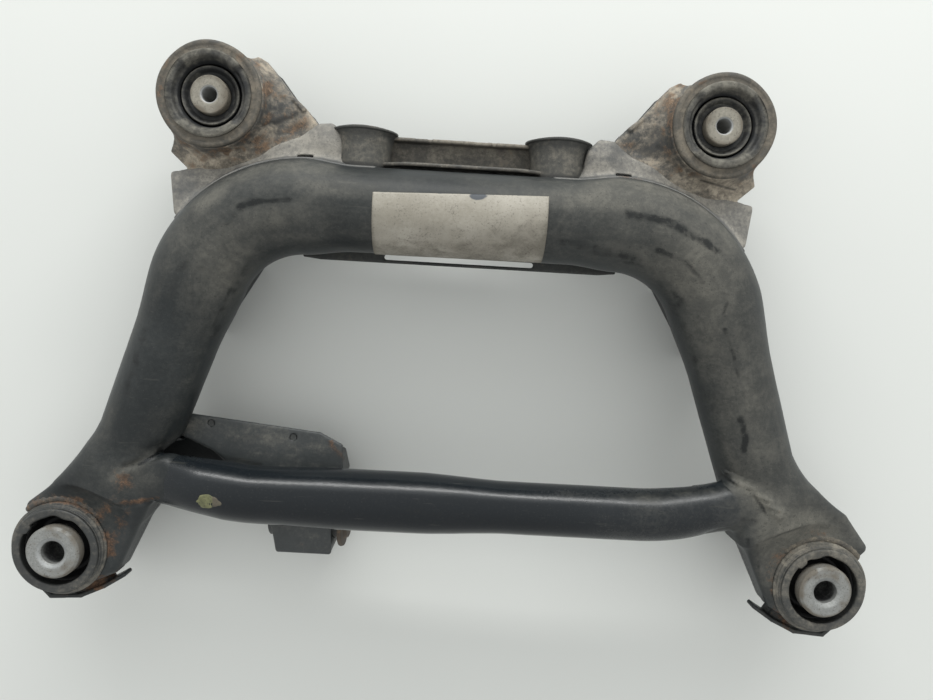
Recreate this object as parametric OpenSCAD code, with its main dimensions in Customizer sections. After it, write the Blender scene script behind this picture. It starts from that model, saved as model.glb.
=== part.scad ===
// Rear axle carrier of a road car: a welded steel subframe.
// X runs across the car, +Y to the rear, +Z up. The frame lies on its link
// brackets, with the four bush sleeve faces upward.

/* [Bush points] */
// Distance between the two front bush axes
front_span = 750; // [744:1:756]
// Distance between the two rear bush axes
rear_span = 471; // [468:1:474]
// Distance from the front bush axes back to the rear bush axes
bush_pitch = 437; // [434:1:440]
// Height of the bush sleeve faces above the surface the frame lies on
face_h = 118; // [117:1:122]

/* [Main tube] */
// Radius of the tube between the bends
mid_r = 40; // [39:0.5:41]
// Radius of the swollen tube in the bends
bend_r = 44.5; // [43:0.5:45.5]
// Radius of the tube at the open end of each leg
leg_r = 38; // [37:0.5:39]
// Wall of the tube
tube_wall = 3; // [2:0.5:4]
// Bend radius on the tube's centre line
bend_R = 110; // [106:1:114]
// Angle by which each leg splays outward
leg_ang = 20.8; // [20:0.1:21.5]
// Fall of the tube's plane towards the front
tube_tilt = 5.6; // [5:0.1:6]

/* [Front cross tube] */
// Radius of the cross tube at its left half
cross_r1 = 29.5; // [28.5:0.5:30]
// Radius of the cross tube at its right half
cross_r2 = 25.5; // [25:0.5:26.5]
// Wall of the cross tube
cross_wall = 2.5; // [2:0.5:3]

/* [Bushes] */
// Radius of the front sleeve's face
front_core_r = 25.7; // [25:0.1:26]
// Radius of the front sleeve's bore
front_bore_r = 11.25; // [10:0.05:12]
// Radius of the rear sleeve's face
rear_core_r = 17.3; // [17:0.1:17.5]
// Radius of the rear sleeve's bore
rear_bore_r = 7; // [6:0.05:8]
// Length of the four bush sleeves
core_len = 70; // [68:1:72]
// Radius of the bolt bore in the three differential bushes
diff_bore_r = 7; // [6:0.05:8]

/* [Sheet parts] */
// Wall of the pressed arm and console shells
shell_t = 3; // [2.5:0.5:3.5]
// Thickness of the bracket sheets
sheet_t = 4; // [3:0.5:4]
// Radius of the bolt holes in the link brackets
link_hole_r = 6.2; // [5:0.1:7]

/* [Hidden] */
$fn = 64;

paint = [0.13, 0.14, 0.15];
dusty = [0.27, 0.25, 0.22];
rusty = [0.36, 0.26, 0.18];
black_rubber = [0.07, 0.07, 0.08];
alloy = [0.62, 0.61, 0.57];
foil = [0.58, 0.55, 0.50];

// Heights below are measured from the sleeve faces, lengths from the front
// bush axes; place() brings them to the middle of the footprint, on the floor.
fx = front_span/2;
rx = rear_span/2;
flange_r = 48;
strip_y = -58;
y_low = strip_y - sheet_t/2;
y_high = bush_pitch + flange_r;
y_mid = (y_low + y_high)/2;
floor_z = -face_h;
module place() translate([0, -y_mid, face_h]) children();
module right_or_left(s) { if (s > 0) children(); else mirror([1, 0, 0]) children(); }

// Main tube's centre line: the middle, then the bends, then the legs
mid_y = 343;
mid_z = -16;
corner_x = 220.6;
turn = 90 - leg_ang;
tangent = bend_R*tan(turn/2);
x_tan = corner_x - tangent;
x_cyl = 104;
leg_swell = 64;
leg_len = 205;
leg_mid_r = 39.5;
arm_at = 194;

module tube_plane() translate([0, mid_y, mid_z]) rotate([tube_tilt, 0, 0]) children();
module leg_axis() translate([x_tan + bend_R*cos(leg_ang), -bend_R + bend_R*sin(leg_ang), 0])
  rotate([90, 0, leg_ang]) children();

// Each length starts a little inside the one before it, a hair thinner, as the
// tube's own wall is drawn down there; "past" runs the legs on beyond their ends.
hair = 0.15;
module tube_solid(g, past = 0) tube_plane() {
  rotate([0, 90, 0]) cylinder(r = mid_r + g, h = 2*x_cyl + 2, center = true);
  for (m = [0, 1]) mirror([m, 0, 0]) {
    translate([x_cyl, 0, 0]) rotate([0, 90, 0])
      cylinder(r1 = mid_r - hair + g, r2 = bend_r - hair + g, h = x_tan - x_cyl + 1.5);
    translate([x_tan, -bend_R, 0]) rotate([0, 0, leg_ang])
      rotate_extrude(angle = turn) translate([bend_R, 0]) circle(r = bend_r + g);
    leg_axis() translate([0, 0, -1.5])
      cylinder(r1 = bend_r - hair + g, r2 = leg_mid_r + g, h = leg_swell + 1.5);
    leg_axis() translate([0, 0, leg_swell - 1.5])
      cylinder(r1 = leg_mid_r - hair + g, r2 = leg_r + g, h = leg_len - leg_swell + 1.5 + past);
  }
}

module main_tube() color(paint) place() difference() {
  tube_solid(0);
  tube_solid(-tube_wall, 4);
}

// Polygon tools: outward edge normals and a parallel outline
function unit(v) = v/norm(v);
function nrm(a, b) = let (d = unit(b - a)) [d.y, -d.x];
function meet(p, n, q, m) = let (D = n.x*m.y - n.y*m.x, c = n*p, e = m*q)
  [(c*m.y - e*n.y)/D, (n.x*e - m.x*c)/D];
function grown(P, g) = let (N = len(P)) [for (i = [0:N - 1])
  let (a = P[(i + N - 1)%N], b = P[i], c = P[(i + 1)%N], n = nrm(a, b), m = nrm(b, c))
  meet(b + g*n, n, b + g*m, m)];

// Front arm: a pressed box that opens from the leg's end to the bush housing
arm_top = -16;
arm_low = -57;
arm_split = -37;
housing_r = 44;
arm_pts = [[350, -38], [408, 28], [413, 40], [344, 96], [287, 52], [322, -25]];

module arm_solid(g) hull() {
  tube_plane() leg_axis() translate([0, 0, arm_at]) cylinder(r = leg_r + shell_t + 0.8 + g, h = 1, $fn = 40);
  translate([0, 0, arm_low - g]) linear_extrude(arm_top - arm_low + 2*g) polygon(grown(arm_pts, g));
}

module arm_shell() difference() {
  arm_solid(0);
  arm_solid(-shell_t);
  tube_solid(0.02);
  translate([fx, 0, -100]) cylinder(r = housing_r, h = 120);
  translate([fx, 0, -15.95]) cylinder(r = housing_r + 3.02, h = 60);
}

module front_arm_upper(s) color(paint) place() right_or_left(s) difference() {
  arm_shell();
  translate([200, -100, arm_split - 200]) cube([300, 300, 200]);
}

module front_arm_lower(s) color(paint) place() right_or_left(s) difference() {
  arm_shell();
  translate([200, -100, arm_split]) cube([300, 300, 200]);
}

module front_arm_upper_shell_left() front_arm_upper(-1);
module front_arm_upper_shell_right() front_arm_upper(1);
module front_arm_lower_shell_left() front_arm_lower(-1);
module front_arm_lower_shell_right() front_arm_lower(1);

// Front bushes
module front_housing(s) color(dusty) place() translate([s*fx, 0, 0]) difference() {
  union() {
    translate([0, 0, -62]) cylinder(r = housing_r, h = 50);
    translate([0, 0, -15.9]) cylinder(r = housing_r + 3, h = 3.4);
  }
  translate([0, 0, -70]) cylinder(r = 39.5, h = 70);
}
module front_bush_housing_left() front_housing(-1);
module front_bush_housing_right() front_housing(1);

module front_outer(s) color(dusty) place() translate([s*fx, 0, 0]) difference() {
  union() {
    translate([0, 0, -60]) cylinder(r = 39.5, h = 53);
    translate([0, 0, -12]) cylinder(r = 41.5, h = 7);
  }
  translate([0, 0, -70]) cylinder(r = 36, h = 60);
  translate([0, 0, -20]) cylinder(r = 34, h = 20);
}
module front_bush_outer_sleeve_left() front_outer(-1);
module front_bush_outer_sleeve_right() front_outer(1);

module front_rubber(s) color(black_rubber) place() translate([s*fx, 0, 0]) difference() {
  translate([0, 0, -56]) cylinder(r = 36, h = 40);
  translate([0, 0, -60]) cylinder(r = 20, h = 60);
}
module front_bush_rubber_left() front_rubber(-1);
module front_bush_rubber_right() front_rubber(1);

module front_core(s) color(alloy) place() translate([s*fx, 0, 0]) difference() {
  union() {
    translate([0, 0, -12]) cylinder(r = front_core_r, h = 12);
    translate([0, 0, -core_len + 5]) cylinder(r = 20, h = core_len - 10);
    translate([0, 0, -core_len]) cylinder(r = front_core_r, h = 10);
  }
  translate([0, 0, -core_len - 5]) cylinder(r = front_bore_r, h = core_len + 10);
  translate([0, 0, -2]) cylinder(r1 = front_bore_r, r2 = front_bore_r + 2.2, h = 2.2);
}
module front_bush_core_left() front_core(-1);
module front_bush_core_right() front_core(1);

// Strip that hooks round the front of each front bush housing
strip_pts = [[320, -32], [340, -45], [363, -56], [393, strip_y], [401, -50]];
strip_top = -31;
strip_low = -55;
module front_hook(s) color(paint) place() right_or_left(s) difference() {
  translate([0, 0, strip_low]) linear_extrude(strip_top - strip_low) {
    for (i = [0:len(strip_pts) - 2]) let (a = strip_pts[i], d = strip_pts[i + 1] - a)
      translate(a) rotate(atan2(d.y, d.x)) translate([0, -sheet_t/2]) square([norm(d), sheet_t]);
    for (p = strip_pts) translate(p) circle(d = sheet_t);
    // root, welded to the arm's corner
    polygon([[338, -44], [345, -33], [360, -37], [370, -56], [363, -56]]);
  }
  arm_solid(0);
  translate([fx, 0, -100]) cylinder(r = housing_r, h = 120);
}
module front_hook_strip_left() front_hook(-1);
module front_hook_strip_right() front_hook(1);

// U-shaped bracket under each front arm, for the front link
module front_link(s) color(paint) place() right_or_left(s) difference() {
  translate([344, 48, 0]) rotate([0, 0, leg_ang]) difference() {
    translate([-20, -27, floor_z]) cube([40, 54, -floor_z - 40]);
    translate([-20 + sheet_t, -30, floor_z - 1]) cube([40 - 2*sheet_t, 57 - sheet_t, 120]);
    translate([-40, 0, floor_z + 20]) rotate([0, 90, 0]) cylinder(r = link_hole_r, h = 80);
  }
  arm_solid(0);
  tube_solid(0.02);
  translate([fx, 0, -130]) cylinder(r = housing_r + 1, h = 140);
}
module front_link_bracket_left() front_link(-1);
module front_link_bracket_right() front_link(1);

// Rear consoles: a pressed lid with turned-down edges, and a closing plate
console_top = -26;
console_low = -57;
console_pts = [[262, 358], [264, 374], [279, 388], [272, 400], [262, 440], [215, 478], [196, 479],
  [184, 470], [165, 446], [151, 434], [141, 421], [146, 400], [190, 382], [235, 366]];
eye_r = 46;
module console_outline(g) { polygon(grown(console_pts, g)); translate([rx, bush_pitch]) circle(r = eye_r + g); }
module rear_upper(s) color(rusty) place() difference() {
  right_or_left(s) difference() {
    translate([0, 0, console_low]) linear_extrude(console_top - console_low) console_outline(0);
    translate([0, 0, console_low - 1]) linear_extrude(console_top - console_low + 1 - shell_t) console_outline(-shell_t);
  }
  right_or_left(s) console_cut_side();
}
module console_cut_side() {
  tube_solid(0.02);
  translate([rx, bush_pitch, -100]) cylinder(r = 43.5, h = 120);
}
module rear_lower(s) color(paint) place() difference() {
  right_or_left(s) translate([0, 0, console_low - shell_t]) linear_extrude(shell_t) console_outline(0);
  right_or_left(s) console_cut_side();
  // drain hole
  right_or_left(s) translate([188, 425, -80]) cylinder(r = 7, h = 40);
}
module rear_console_upper_left() rear_upper(-1);
module rear_console_upper_right() rear_upper(1);
module rear_console_lower_left() rear_lower(-1);
module rear_console_lower_right() rear_lower(1);

// Rear bushes
module rear_housing(s) color(rusty) place() translate([s*rx, bush_pitch, 0]) difference() {
  translate([0, 0, -58]) cylinder(r = 43.5, h = 36);
  translate([0, 0, -70]) cylinder(r = 40.5, h = 70);
}
module rear_bush_housing_left() rear_housing(-1);
module rear_bush_housing_right() rear_housing(1);

module rear_outer(s) color(dusty) place() translate([s*rx, bush_pitch, 0])
  rotate_extrude() polygon([[38.5, -57], [40.5, -57], [40.5, -2], [flange_r - 2, -2.5], [flange_r - 2, -8], [flange_r, -8],
    [flange_r, 1], [flange_r - 1.5, 2.5], [38.5, 3.5]]);
module rear_bush_outer_sleeve_left() rear_outer(-1);
module rear_bush_outer_sleeve_right() rear_outer(1);

module rear_rubber(s) color(black_rubber) place() translate([s*rx, bush_pitch, 0])
  rotate_extrude() polygon([[rear_core_r, -63], [26, -63], [38.5, -58], [38.5, 4], [36.5, 5.5], [34.5, 5.5], [30, -3],
    [28.4, -7], [28.4, -25], [26.4, -25], [26.4, -6], [25, -4.5], [rear_core_r, -6]]);
module rear_bush_rubber_left() rear_rubber(-1);
module rear_bush_rubber_right() rear_rubber(1);

module rear_core(s) color(alloy) place() translate([s*rx, bush_pitch, 0]) difference() {
  translate([0, 0, -core_len]) cylinder(r = rear_core_r, h = core_len);
  translate([0, 0, -core_len - 5]) cylinder(r = rear_bore_r, h = core_len + 10);
  translate([0, 0, -1.2]) cylinder(r1 = rear_bore_r, r2 = rear_bore_r + 1.4, h = 1.4);
}
module rear_bush_core_left() rear_core(-1);
module rear_bush_core_right() rear_core(1);

// Differential sleeves: flared tubes on the rear of the main tube
diff_x = [-98.5, 89.5];
diff_z = -38;
diff_r = 26.8;
diff_y1 = 419.5;
module diff_axis(s) translate([s < 0 ? diff_x[0] : diff_x[1], 0, diff_z]) rotate([-90, 0, 0]) children();
module diff_body(s, g) diff_axis(s) rotate_extrude() polygon([[0, 345], [diff_r + g, 345], [diff_r + g, 396],
  [diff_r + 1.2 + g, 407], [diff_r + 3.2 + g, 413.5], [diff_r + 5.4 + g, 416.5], [diff_r + 5.4 + g, diff_y1], [0, diff_y1]]);
module diff_sleeve(s) color(dusty) place() difference() {
  diff_body(s, 0);
  diff_axis(s) rotate_extrude() polygon([[0, 340], [diff_r - 3, 340], [diff_r - 3, 397], [diff_r - 1.6, 408],
    [diff_r + 0.4, 415], [diff_r + 3.4, diff_y1], [diff_r + 3.4, diff_y1 + 5], [0, diff_y1 + 5]]);
  tube_solid(0.02);
}
module diff_sleeve_left() diff_sleeve(-1);
module diff_sleeve_right() diff_sleeve(1);

module diff_rubber(s) color(black_rubber) place() diff_axis(s) difference() {
  translate([0, 0, 387]) cylinder(r = diff_r - 3, h = 10);
  translate([0, 0, 380]) cylinder(r = 13, h = 40);
}
module diff_bush_rubber_left() diff_rubber(-1);
module diff_bush_rubber_right() diff_rubber(1);

module diff_core(s) color(alloy) place() diff_axis(s) difference() {
  translate([0, 0, 384]) cylinder(r = 13, h = 30);
  translate([0, 0, 380]) cylinder(r = diff_bore_r, h = 45);
}
module diff_bush_core_left() diff_core(-1);
module diff_bush_core_right() diff_core(1);

// Pressed gussets that fill the corner between tube, console and sleeve
gusset_top = -22;
gusset_pts = [[262, 322], [274, 331], [278, 369], [237, 381], [192, 397], [158, 409], [140, 422],
  [126, 423], [115, 411], [112, 394], [100, 372], [150, 360], [215, 335]];
flange_pts = [[270, 331], [274, 331], [278, 369], [274, 369]];
module gusset(s) color(dusty) place() difference() {
  right_or_left(s) {
    translate([0, 0, console_top]) linear_extrude(gusset_top - console_top) polygon(gusset_pts);
    translate([0, 0, -64]) linear_extrude(gusset_top + 64) polygon(flange_pts);
  }
  tube_solid(0.02);
  diff_body(s, 0.02);
  right_or_left(s) translate([0, 0, -80]) linear_extrude(80 + console_top) console_outline(0.02);
}
module rear_gusset_left() gusset(-1);
module rear_gusset_right() gusset(1);

// U-shaped bracket under each bend, for the rear link
module rear_link(s) color(paint) place() right_or_left(s) difference() {
  translate([x_tan, mid_y - bend_R, 0]) rotate([0, 0, 31]) translate([bend_R, 0, 0]) difference() {
    translate([-25, -74, floor_z]) cube([55, 83, -floor_z - 36]);
    translate([-25 + sheet_t, -74 + sheet_t, floor_z - 1]) cube([100, 83 - 2*sheet_t, 120]);
    translate([12, -85, floor_z + 20]) rotate([-90, 0, 0]) cylinder(r = link_hole_r, h = 110);
  }
  tube_solid(0.02);
}
module rear_link_bracket_left() rear_link(-1);
module rear_link_bracket_right() rear_link(1);

// Pressed channel between the two differential sleeves
module rear_cross_plate() color(dusty) place() difference() {
  translate([diff_x[0], 0, 0]) {
    translate([0, 386, -50]) cube([diff_x[1] - diff_x[0], 30.5, 3.5]);
    translate([0, 413, -50]) cube([diff_x[1] - diff_x[0], 3.5, 15]);
    translate([0, 386, -64]) cube([diff_x[1] - diff_x[0], 3.5, 30]);
    translate([0, 364, -66]) cube([diff_x[1] - diff_x[0], 25.5, 3.5]);
  }
  // front wall, which rises to a lip behind the tube
  translate([-82, 386, -60]) cube([164, 3.5, 50]);
  diff_body(-1, 0.02);
  diff_body(1, 0.02);
  tube_solid(0.02);
}

// Stiffening plate below the middle of the main tube, with a long slot
plate_z = mid_z - mid_r - 3.5;
module lower_cross_plate() color(paint) place() difference() {
  union() {
    translate([-140, 295.5, plate_z]) cube([280, 58, 3.5]);
    translate([-158, 297, plate_z]) cube([316, 8, 3.5]);
  }
  translate([-76, 299.5, plate_z - 5]) cube([150, 5, 12]);
  tube_solid(0.02);
  diff_body(-1, 0.02);
  diff_body(1, 0.02);
}

// Channel bracket on the left leg, for the differential's front bush
brk_top = -50;
// Outline of its top, which stands out past the walls as a flange at the rear
brk_top_pts = [[-117, -7], [-117, 20], [-112, 30], [-111, 53], [-107, 76], [-109, 109], [-132, 120.5], [-296, 136],
  [-306, 131], [-302, 122], [-241, 96], [-200, 62], [-178, 17], [-173, -7]];
// Outline of its walls, which stay behind the face of the bush's rubber washer
brk_pts = [[-117, -7], [-117, 20], [-112, 30], [-111, 64], [-107, 76], [-112, 95], [-136, 105.5], [-296, 123],
  [-302, 113], [-242, 88], [-200, 56], [-178, 17], [-173, -7]];
front_y = 28;
front_z = -80;
module front_axis() translate([0, front_y, front_z]) rotate([0, 90, 0]) children();
module diff_front_bracket() color(paint) place() difference() {
  union() {
    difference() {
      union() {
        translate([0, 0, -96]) linear_extrude(brk_top + 96) difference() {
          polygon(brk_pts);
          polygon(grown(brk_pts, -sheet_t));
        }
        translate([0, 0, brk_top - sheet_t]) linear_extrude(sheet_t) polygon(brk_top_pts);
      }
      // open side towards the arm
      translate([-310, -20, -120]) cube([132.5, 124, 120 + brk_top - sheet_t]);
    }
    // closing plate seen through the opening beside the leg
    translate([0, 0, -82]) linear_extrude(sheet_t) polygon([[-310, 66], [-310, 122], [-262, 118], [-214, 112], [-214, 62], [-262, 52]]);
  }
  translate([-243.5, 124, -60]) cylinder(r = 3.2, h = 20);
  translate([-159.5, 114, -60]) cylinder(r = 3.2, h = 20);
  front_axis() translate([0, 0, -260]) cylinder(r = 25.5, h = 200);
  front_cross_solid(0.02);
  tube_solid(0.02);
  mirror([1, 0, 0]) arm_solid(0.02);
}
module diff_front_sleeve() color(dusty) place() front_axis() difference() {
  translate([0, 0, -184]) cylinder(r = 25.5, h = 73);
  translate([0, 0, -190]) cylinder(r = 22.5, h = 90);
}
module diff_front_rubber() color(rusty) place() front_axis() difference() {
  union() {
    translate([0, 0, -180]) cylinder(r = 22.5, h = 70);
    translate([0, 0, -111]) cylinder(r = 35, h = 5);
    translate([0, 0, -106]) cylinder(r = 26, h = 4);
  }
  translate([0, 0, -190]) cylinder(r = 12, h = 95);
}
module diff_front_core() color(alloy) place() front_axis() difference() {
  translate([0, 0, -186]) cylinder(r = 12, h = 88);
  translate([0, 0, -195]) cylinder(r = diff_bore_r, h = 105);
}

// Front cross tube: nearly straight, with its ends turned back and drawn in
cross_y = 63;
cross_z = -18;
bend_c = 220;
turn_r = 11;
turn_l = 8;
x_l = -182;
x_r = 186;
module along_x(x, r1, r2, h) translate([x, cross_y, cross_z]) rotate([0, 90, 0]) cylinder(r1 = r1, r2 = r2, h = h);
module cross_end(x, a, r, r_end, len, g) translate([x, cross_y + bend_c, cross_z]) {
  rotate([0, 0, -90]) rotate_extrude(angle = a) translate([bend_c, 0]) circle(r = r + g);
  rotate([0, 0, a]) translate([-1.5, -bend_c, 0]) rotate([0, 90, 0])
    cylinder(r1 = r - hair + g, r2 = r_end + g, h = len);
}
module front_cross_solid(g) {
  along_x(x_l - 1.5, cross_r1 - 1.5 - hair + g, cross_r1 + g, 84);
  along_x(x_l + 82, cross_r1 - hair + g, cross_r1 - hair + g, 88);
  along_x(-16, cross_r1 - 2*hair + g, cross_r2 - hair + g, 62);
  along_x(43, cross_r2 - 2*hair + g, cross_r2 - hair + g, x_r - 43 + 1.5);
  cross_end(x_r, turn_r, cross_r2, 24, 110, g);
  mirror([1, 0, 0]) cross_end(-x_l, turn_l, cross_r1 - 1.5, 22, 100, g);
}
module front_cross_tube() color(paint) place() difference() {
  front_cross_solid(0);
  front_cross_solid(-cross_wall);
  tube_solid(0.02);
  for (m = [0, 1]) mirror([m, 0, 0]) arm_solid(0.02);
}

// Foil label on the top of the tube's middle
label_w = 157;
label_x = -2;
module tube_label() color(foil) place() tube_plane() translate([label_x, 0, 0]) rotate([0, 90, 0]) {
  intersection() {
    difference() {
      cylinder(r = mid_r + 0.4, h = label_w, center = true);
      cylinder(r = mid_r + 0.02, h = label_w + 2, center = true);
    }
    // sector from behind the crown to the front flank
    linear_extrude(label_w, center = true) polygon([[0, 0], [-60*cos(24), 60*sin(24)], [-60, 0],
      [-60*cos(50), -60*sin(50)], [-60*cos(84), -60*sin(84)]]);
  }
}

main_tube();
front_cross_tube();
front_arm_upper_shell_left();
front_arm_upper_shell_right();
front_arm_lower_shell_left();
front_arm_lower_shell_right();
front_bush_housing_left();
front_bush_housing_right();
front_bush_outer_sleeve_left();
front_bush_outer_sleeve_right();
front_bush_rubber_left();
front_bush_rubber_right();
front_bush_core_left();
front_bush_core_right();
front_hook_strip_left();
front_hook_strip_right();
front_link_bracket_left();
front_link_bracket_right();
rear_console_upper_left();
rear_console_upper_right();
rear_console_lower_left();
rear_console_lower_right();
rear_bush_housing_left();
rear_bush_housing_right();
rear_bush_outer_sleeve_left();
rear_bush_outer_sleeve_right();
rear_bush_rubber_left();
rear_bush_rubber_right();
rear_bush_core_left();
rear_bush_core_right();
rear_gusset_left();
rear_gusset_right();
rear_link_bracket_left();
rear_link_bracket_right();
diff_sleeve_left();
diff_sleeve_right();
diff_bush_rubber_left();
diff_bush_rubber_right();
diff_bush_core_left();
diff_bush_core_right();
rear_cross_plate();
lower_cross_plate();
diff_front_bracket();
diff_front_sleeve();
diff_front_rubber();
diff_front_core();
tube_label();
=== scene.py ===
import math

import bpy
import numpy as np
from mathutils import Matrix, Vector


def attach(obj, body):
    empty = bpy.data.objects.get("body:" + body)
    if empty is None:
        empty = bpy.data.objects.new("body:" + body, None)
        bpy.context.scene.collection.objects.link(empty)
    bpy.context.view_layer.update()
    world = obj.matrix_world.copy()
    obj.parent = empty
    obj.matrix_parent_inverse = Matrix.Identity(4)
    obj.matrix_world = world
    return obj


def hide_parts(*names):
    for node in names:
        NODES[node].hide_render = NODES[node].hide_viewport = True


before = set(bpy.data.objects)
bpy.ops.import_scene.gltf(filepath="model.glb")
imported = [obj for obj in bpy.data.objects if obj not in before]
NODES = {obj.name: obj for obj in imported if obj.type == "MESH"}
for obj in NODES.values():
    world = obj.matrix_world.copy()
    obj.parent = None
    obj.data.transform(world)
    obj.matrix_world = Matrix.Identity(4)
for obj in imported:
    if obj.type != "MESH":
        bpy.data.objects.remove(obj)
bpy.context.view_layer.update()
scene = bpy.context.scene

# Lengths below are in millimetres, heights from the bush sleeve faces and
# depths from the front bush axes, as the part is drawn; metres() brings them
# into the frame.
OFF = np.array([0.0, -212.5, 118.0])
TILT = math.radians(5.6)
CT, ST = math.cos(TILT), math.sin(TILT)
LEG = math.radians(20.8)
CN, SN = math.cos(LEG), math.sin(LEG)
TURN = math.pi / 2 - LEG
BEND_R = 110.0
X_TAN = 220.6 - BEND_R * math.tan(TURN / 2)
LX, LY = X_TAN + BEND_R * CN, -BEND_R + BEND_R * SN


def metres(p):
    return (np.asarray(p, float) + OFF) * 0.001


# ---------------------------------------------------------------- numbers
def step(a, b, x):
    t = np.clip((x - a) / (b - a), 0.0, 1.0)
    return t * t * (3 - 2 * t)


def lattice(i, j, k, seed):
    n = (i * 73856093) ^ (j * 19349663) ^ (k * 83492791) ^ (seed * 40503)
    n = n & 0xFFFFFFFF
    n = ((n ^ (n >> 15)) * 2246822519) & 0xFFFFFFFF
    n = ((n ^ (n >> 13)) * 3266489917) & 0xFFFFFFFF
    return ((n ^ (n >> 16)) & 0xFFFF) / 65535.0


def noise(p, size, seed=0):
    """Smooth value noise from 0 to 1, with lumps about size millimetres wide."""
    q = np.asarray(p, float) / size + 13.7 * seed
    c = np.floor(q).astype(np.int64)
    f = q - c
    f = f * f * (3 - 2 * f)
    out = 0.0
    for dx in (0, 1):
        wx = f[:, 0] if dx else 1 - f[:, 0]
        for dy in (0, 1):
            wy = f[:, 1] if dy else 1 - f[:, 1]
            for dz in (0, 1):
                wz = f[:, 2] if dz else 1 - f[:, 2]
                out = out + wx * wy * wz * lattice(c[:, 0] + dx, c[:, 1] + dy, c[:, 2] + dz, seed)
    return out


def fbm(p, size, seed=0, octaves=3):
    out, w, total = 0.0, 1.0, 0.0
    for o in range(octaves):
        out = out + w * noise(p, size / 2 ** o, seed + 7 * o)
        total += w
        w *= 0.55
    return out / total


# ---------------------------------------------------------------- photo view
CAM = np.array([0.7, 275.0, 654.6])
PX = 700.0


def turn_of(rx, ry, rz):
    cx, sx, cy, sy, cz, sz = math.cos(rx), math.sin(rx), math.cos(ry), math.sin(ry), math.cos(rz), math.sin(rz)
    x = np.array([[1, 0, 0], [0, cx, -sx], [0, sx, cx]])
    y = np.array([[cy, 0, sy], [0, 1, 0], [-sy, 0, cy]])
    z = np.array([[cz, -sz, 0], [sz, cz, 0], [0, 0, 1]])
    return z @ y @ x


ROT = turn_of(math.radians(5.0), math.radians(0.90), math.radians(-3.22))


def seen(v):
    """Where points fall in the photograph's frame."""
    q = (v - CAM) @ ROT.T
    return 466.5 + PX * q[:, 0] / -q[:, 2], 350.0 - PX * q[:, 1] / -q[:, 2]


# ---------------------------------------------------------------- distances
def grown(pts, g):
    p = [np.array(a, float) for a in pts]
    out = []
    for i in range(len(p)):
        a, b, c = p[i - 1], p[i], p[(i + 1) % len(p)]
        d, e = (b - a) / np.linalg.norm(b - a), (c - b) / np.linalg.norm(c - b)
        n, m = np.array([d[1], -d[0]]), np.array([e[1], -e[0]])
        det = n[0] * m[1] - n[1] * m[0]
        u, w = n @ (b + g * n), m @ (b + g * m)
        out.append(((u * m[1] - w * n[1]) / det, (n[0] * w - m[0] * u) / det))
    return out


def poly(x, y, pts):
    p = [np.array(a, float) for a in pts]
    d = (x - p[0][0]) ** 2 + (y - p[0][1]) ** 2
    s = np.ones(np.broadcast(x, y).shape)
    j = len(p) - 1
    for i in range(len(p)):
        ex, ey = p[j] - p[i]
        wx, wy = x - p[i][0], y - p[i][1]
        t = np.clip((wx * ex + wy * ey) / (ex * ex + ey * ey), 0, 1)
        d = np.minimum(d, (wx - ex * t) ** 2 + (wy - ey * t) ** 2)
        a, b, c = y >= p[i][1], y < p[j][1], ex * wy > ey * wx
        s = np.where((a & b & c) | (~a & ~b & ~c), -s, s)
        j = i
    return s * np.sqrt(d)


def rpoly(x, y, pts, r):
    return poly(x, y, grown(pts, -r)) - r


def slab(d2, z, z0, z1, r=0.0):
    dz = np.maximum(z - z1, z0 - z) + r
    dx = d2 + r
    return np.minimum(np.maximum(dx, dz), 0) + np.sqrt(np.maximum(dx, 0) ** 2 + np.maximum(dz, 0) ** 2) - r


def smin(a, b, k):
    h = np.clip(0.5 + 0.5 * (b - a) / k, 0, 1)
    return b * (1 - h) + a * h - k * h * (1 - h)


def smax(a, b, k):
    return -smin(-a, -b, k)


def tube_r(x):
    return 40.0 + 4.5 * step(102, 148, x)


def leg_r(t):
    return 44.5 - 5.0 * step(-4, 68, t) - 1.5 * np.clip((t - 64) / 141, 0, 1.4)


def in_plane(y, z):
    yy, zz = y - 343.0, z + 16.0
    return yy * CT + zz * ST, -yy * ST + zz * CT


def leg_at(x, y, z):
    """Along the right leg from its bend, across it, and above it."""
    py, pz = in_plane(y, z)
    dx, dy = x - LX, py - LY
    return dx * SN - dy * CN, dx * CN + dy * SN, pz


def tube_d(x, y, z):
    """Distance to the main tube's skin; x is taken on the right side."""
    py, pz = in_plane(y, z)
    px = np.abs(x)
    flat = np.hypot(py, pz) - tube_r(px)
    qx, qy = px - X_TAN, py + BEND_R
    bend = np.hypot(np.hypot(qx, qy) - BEND_R, pz) - 44.5
    t, q, _ = leg_at(px, y, z)
    leg = np.hypot(q, pz) - leg_r(t)
    ang = np.arctan2(qx, qy)
    return np.where(px < X_TAN, flat, np.where((ang < TURN) & (ang > 0), bend, leg))


# ---------------------------------------------------------------- meshes
CORNERS = [(a, b, c) for a in (0, 1) for b in (0, 1) for c in (0, 1)]


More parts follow.
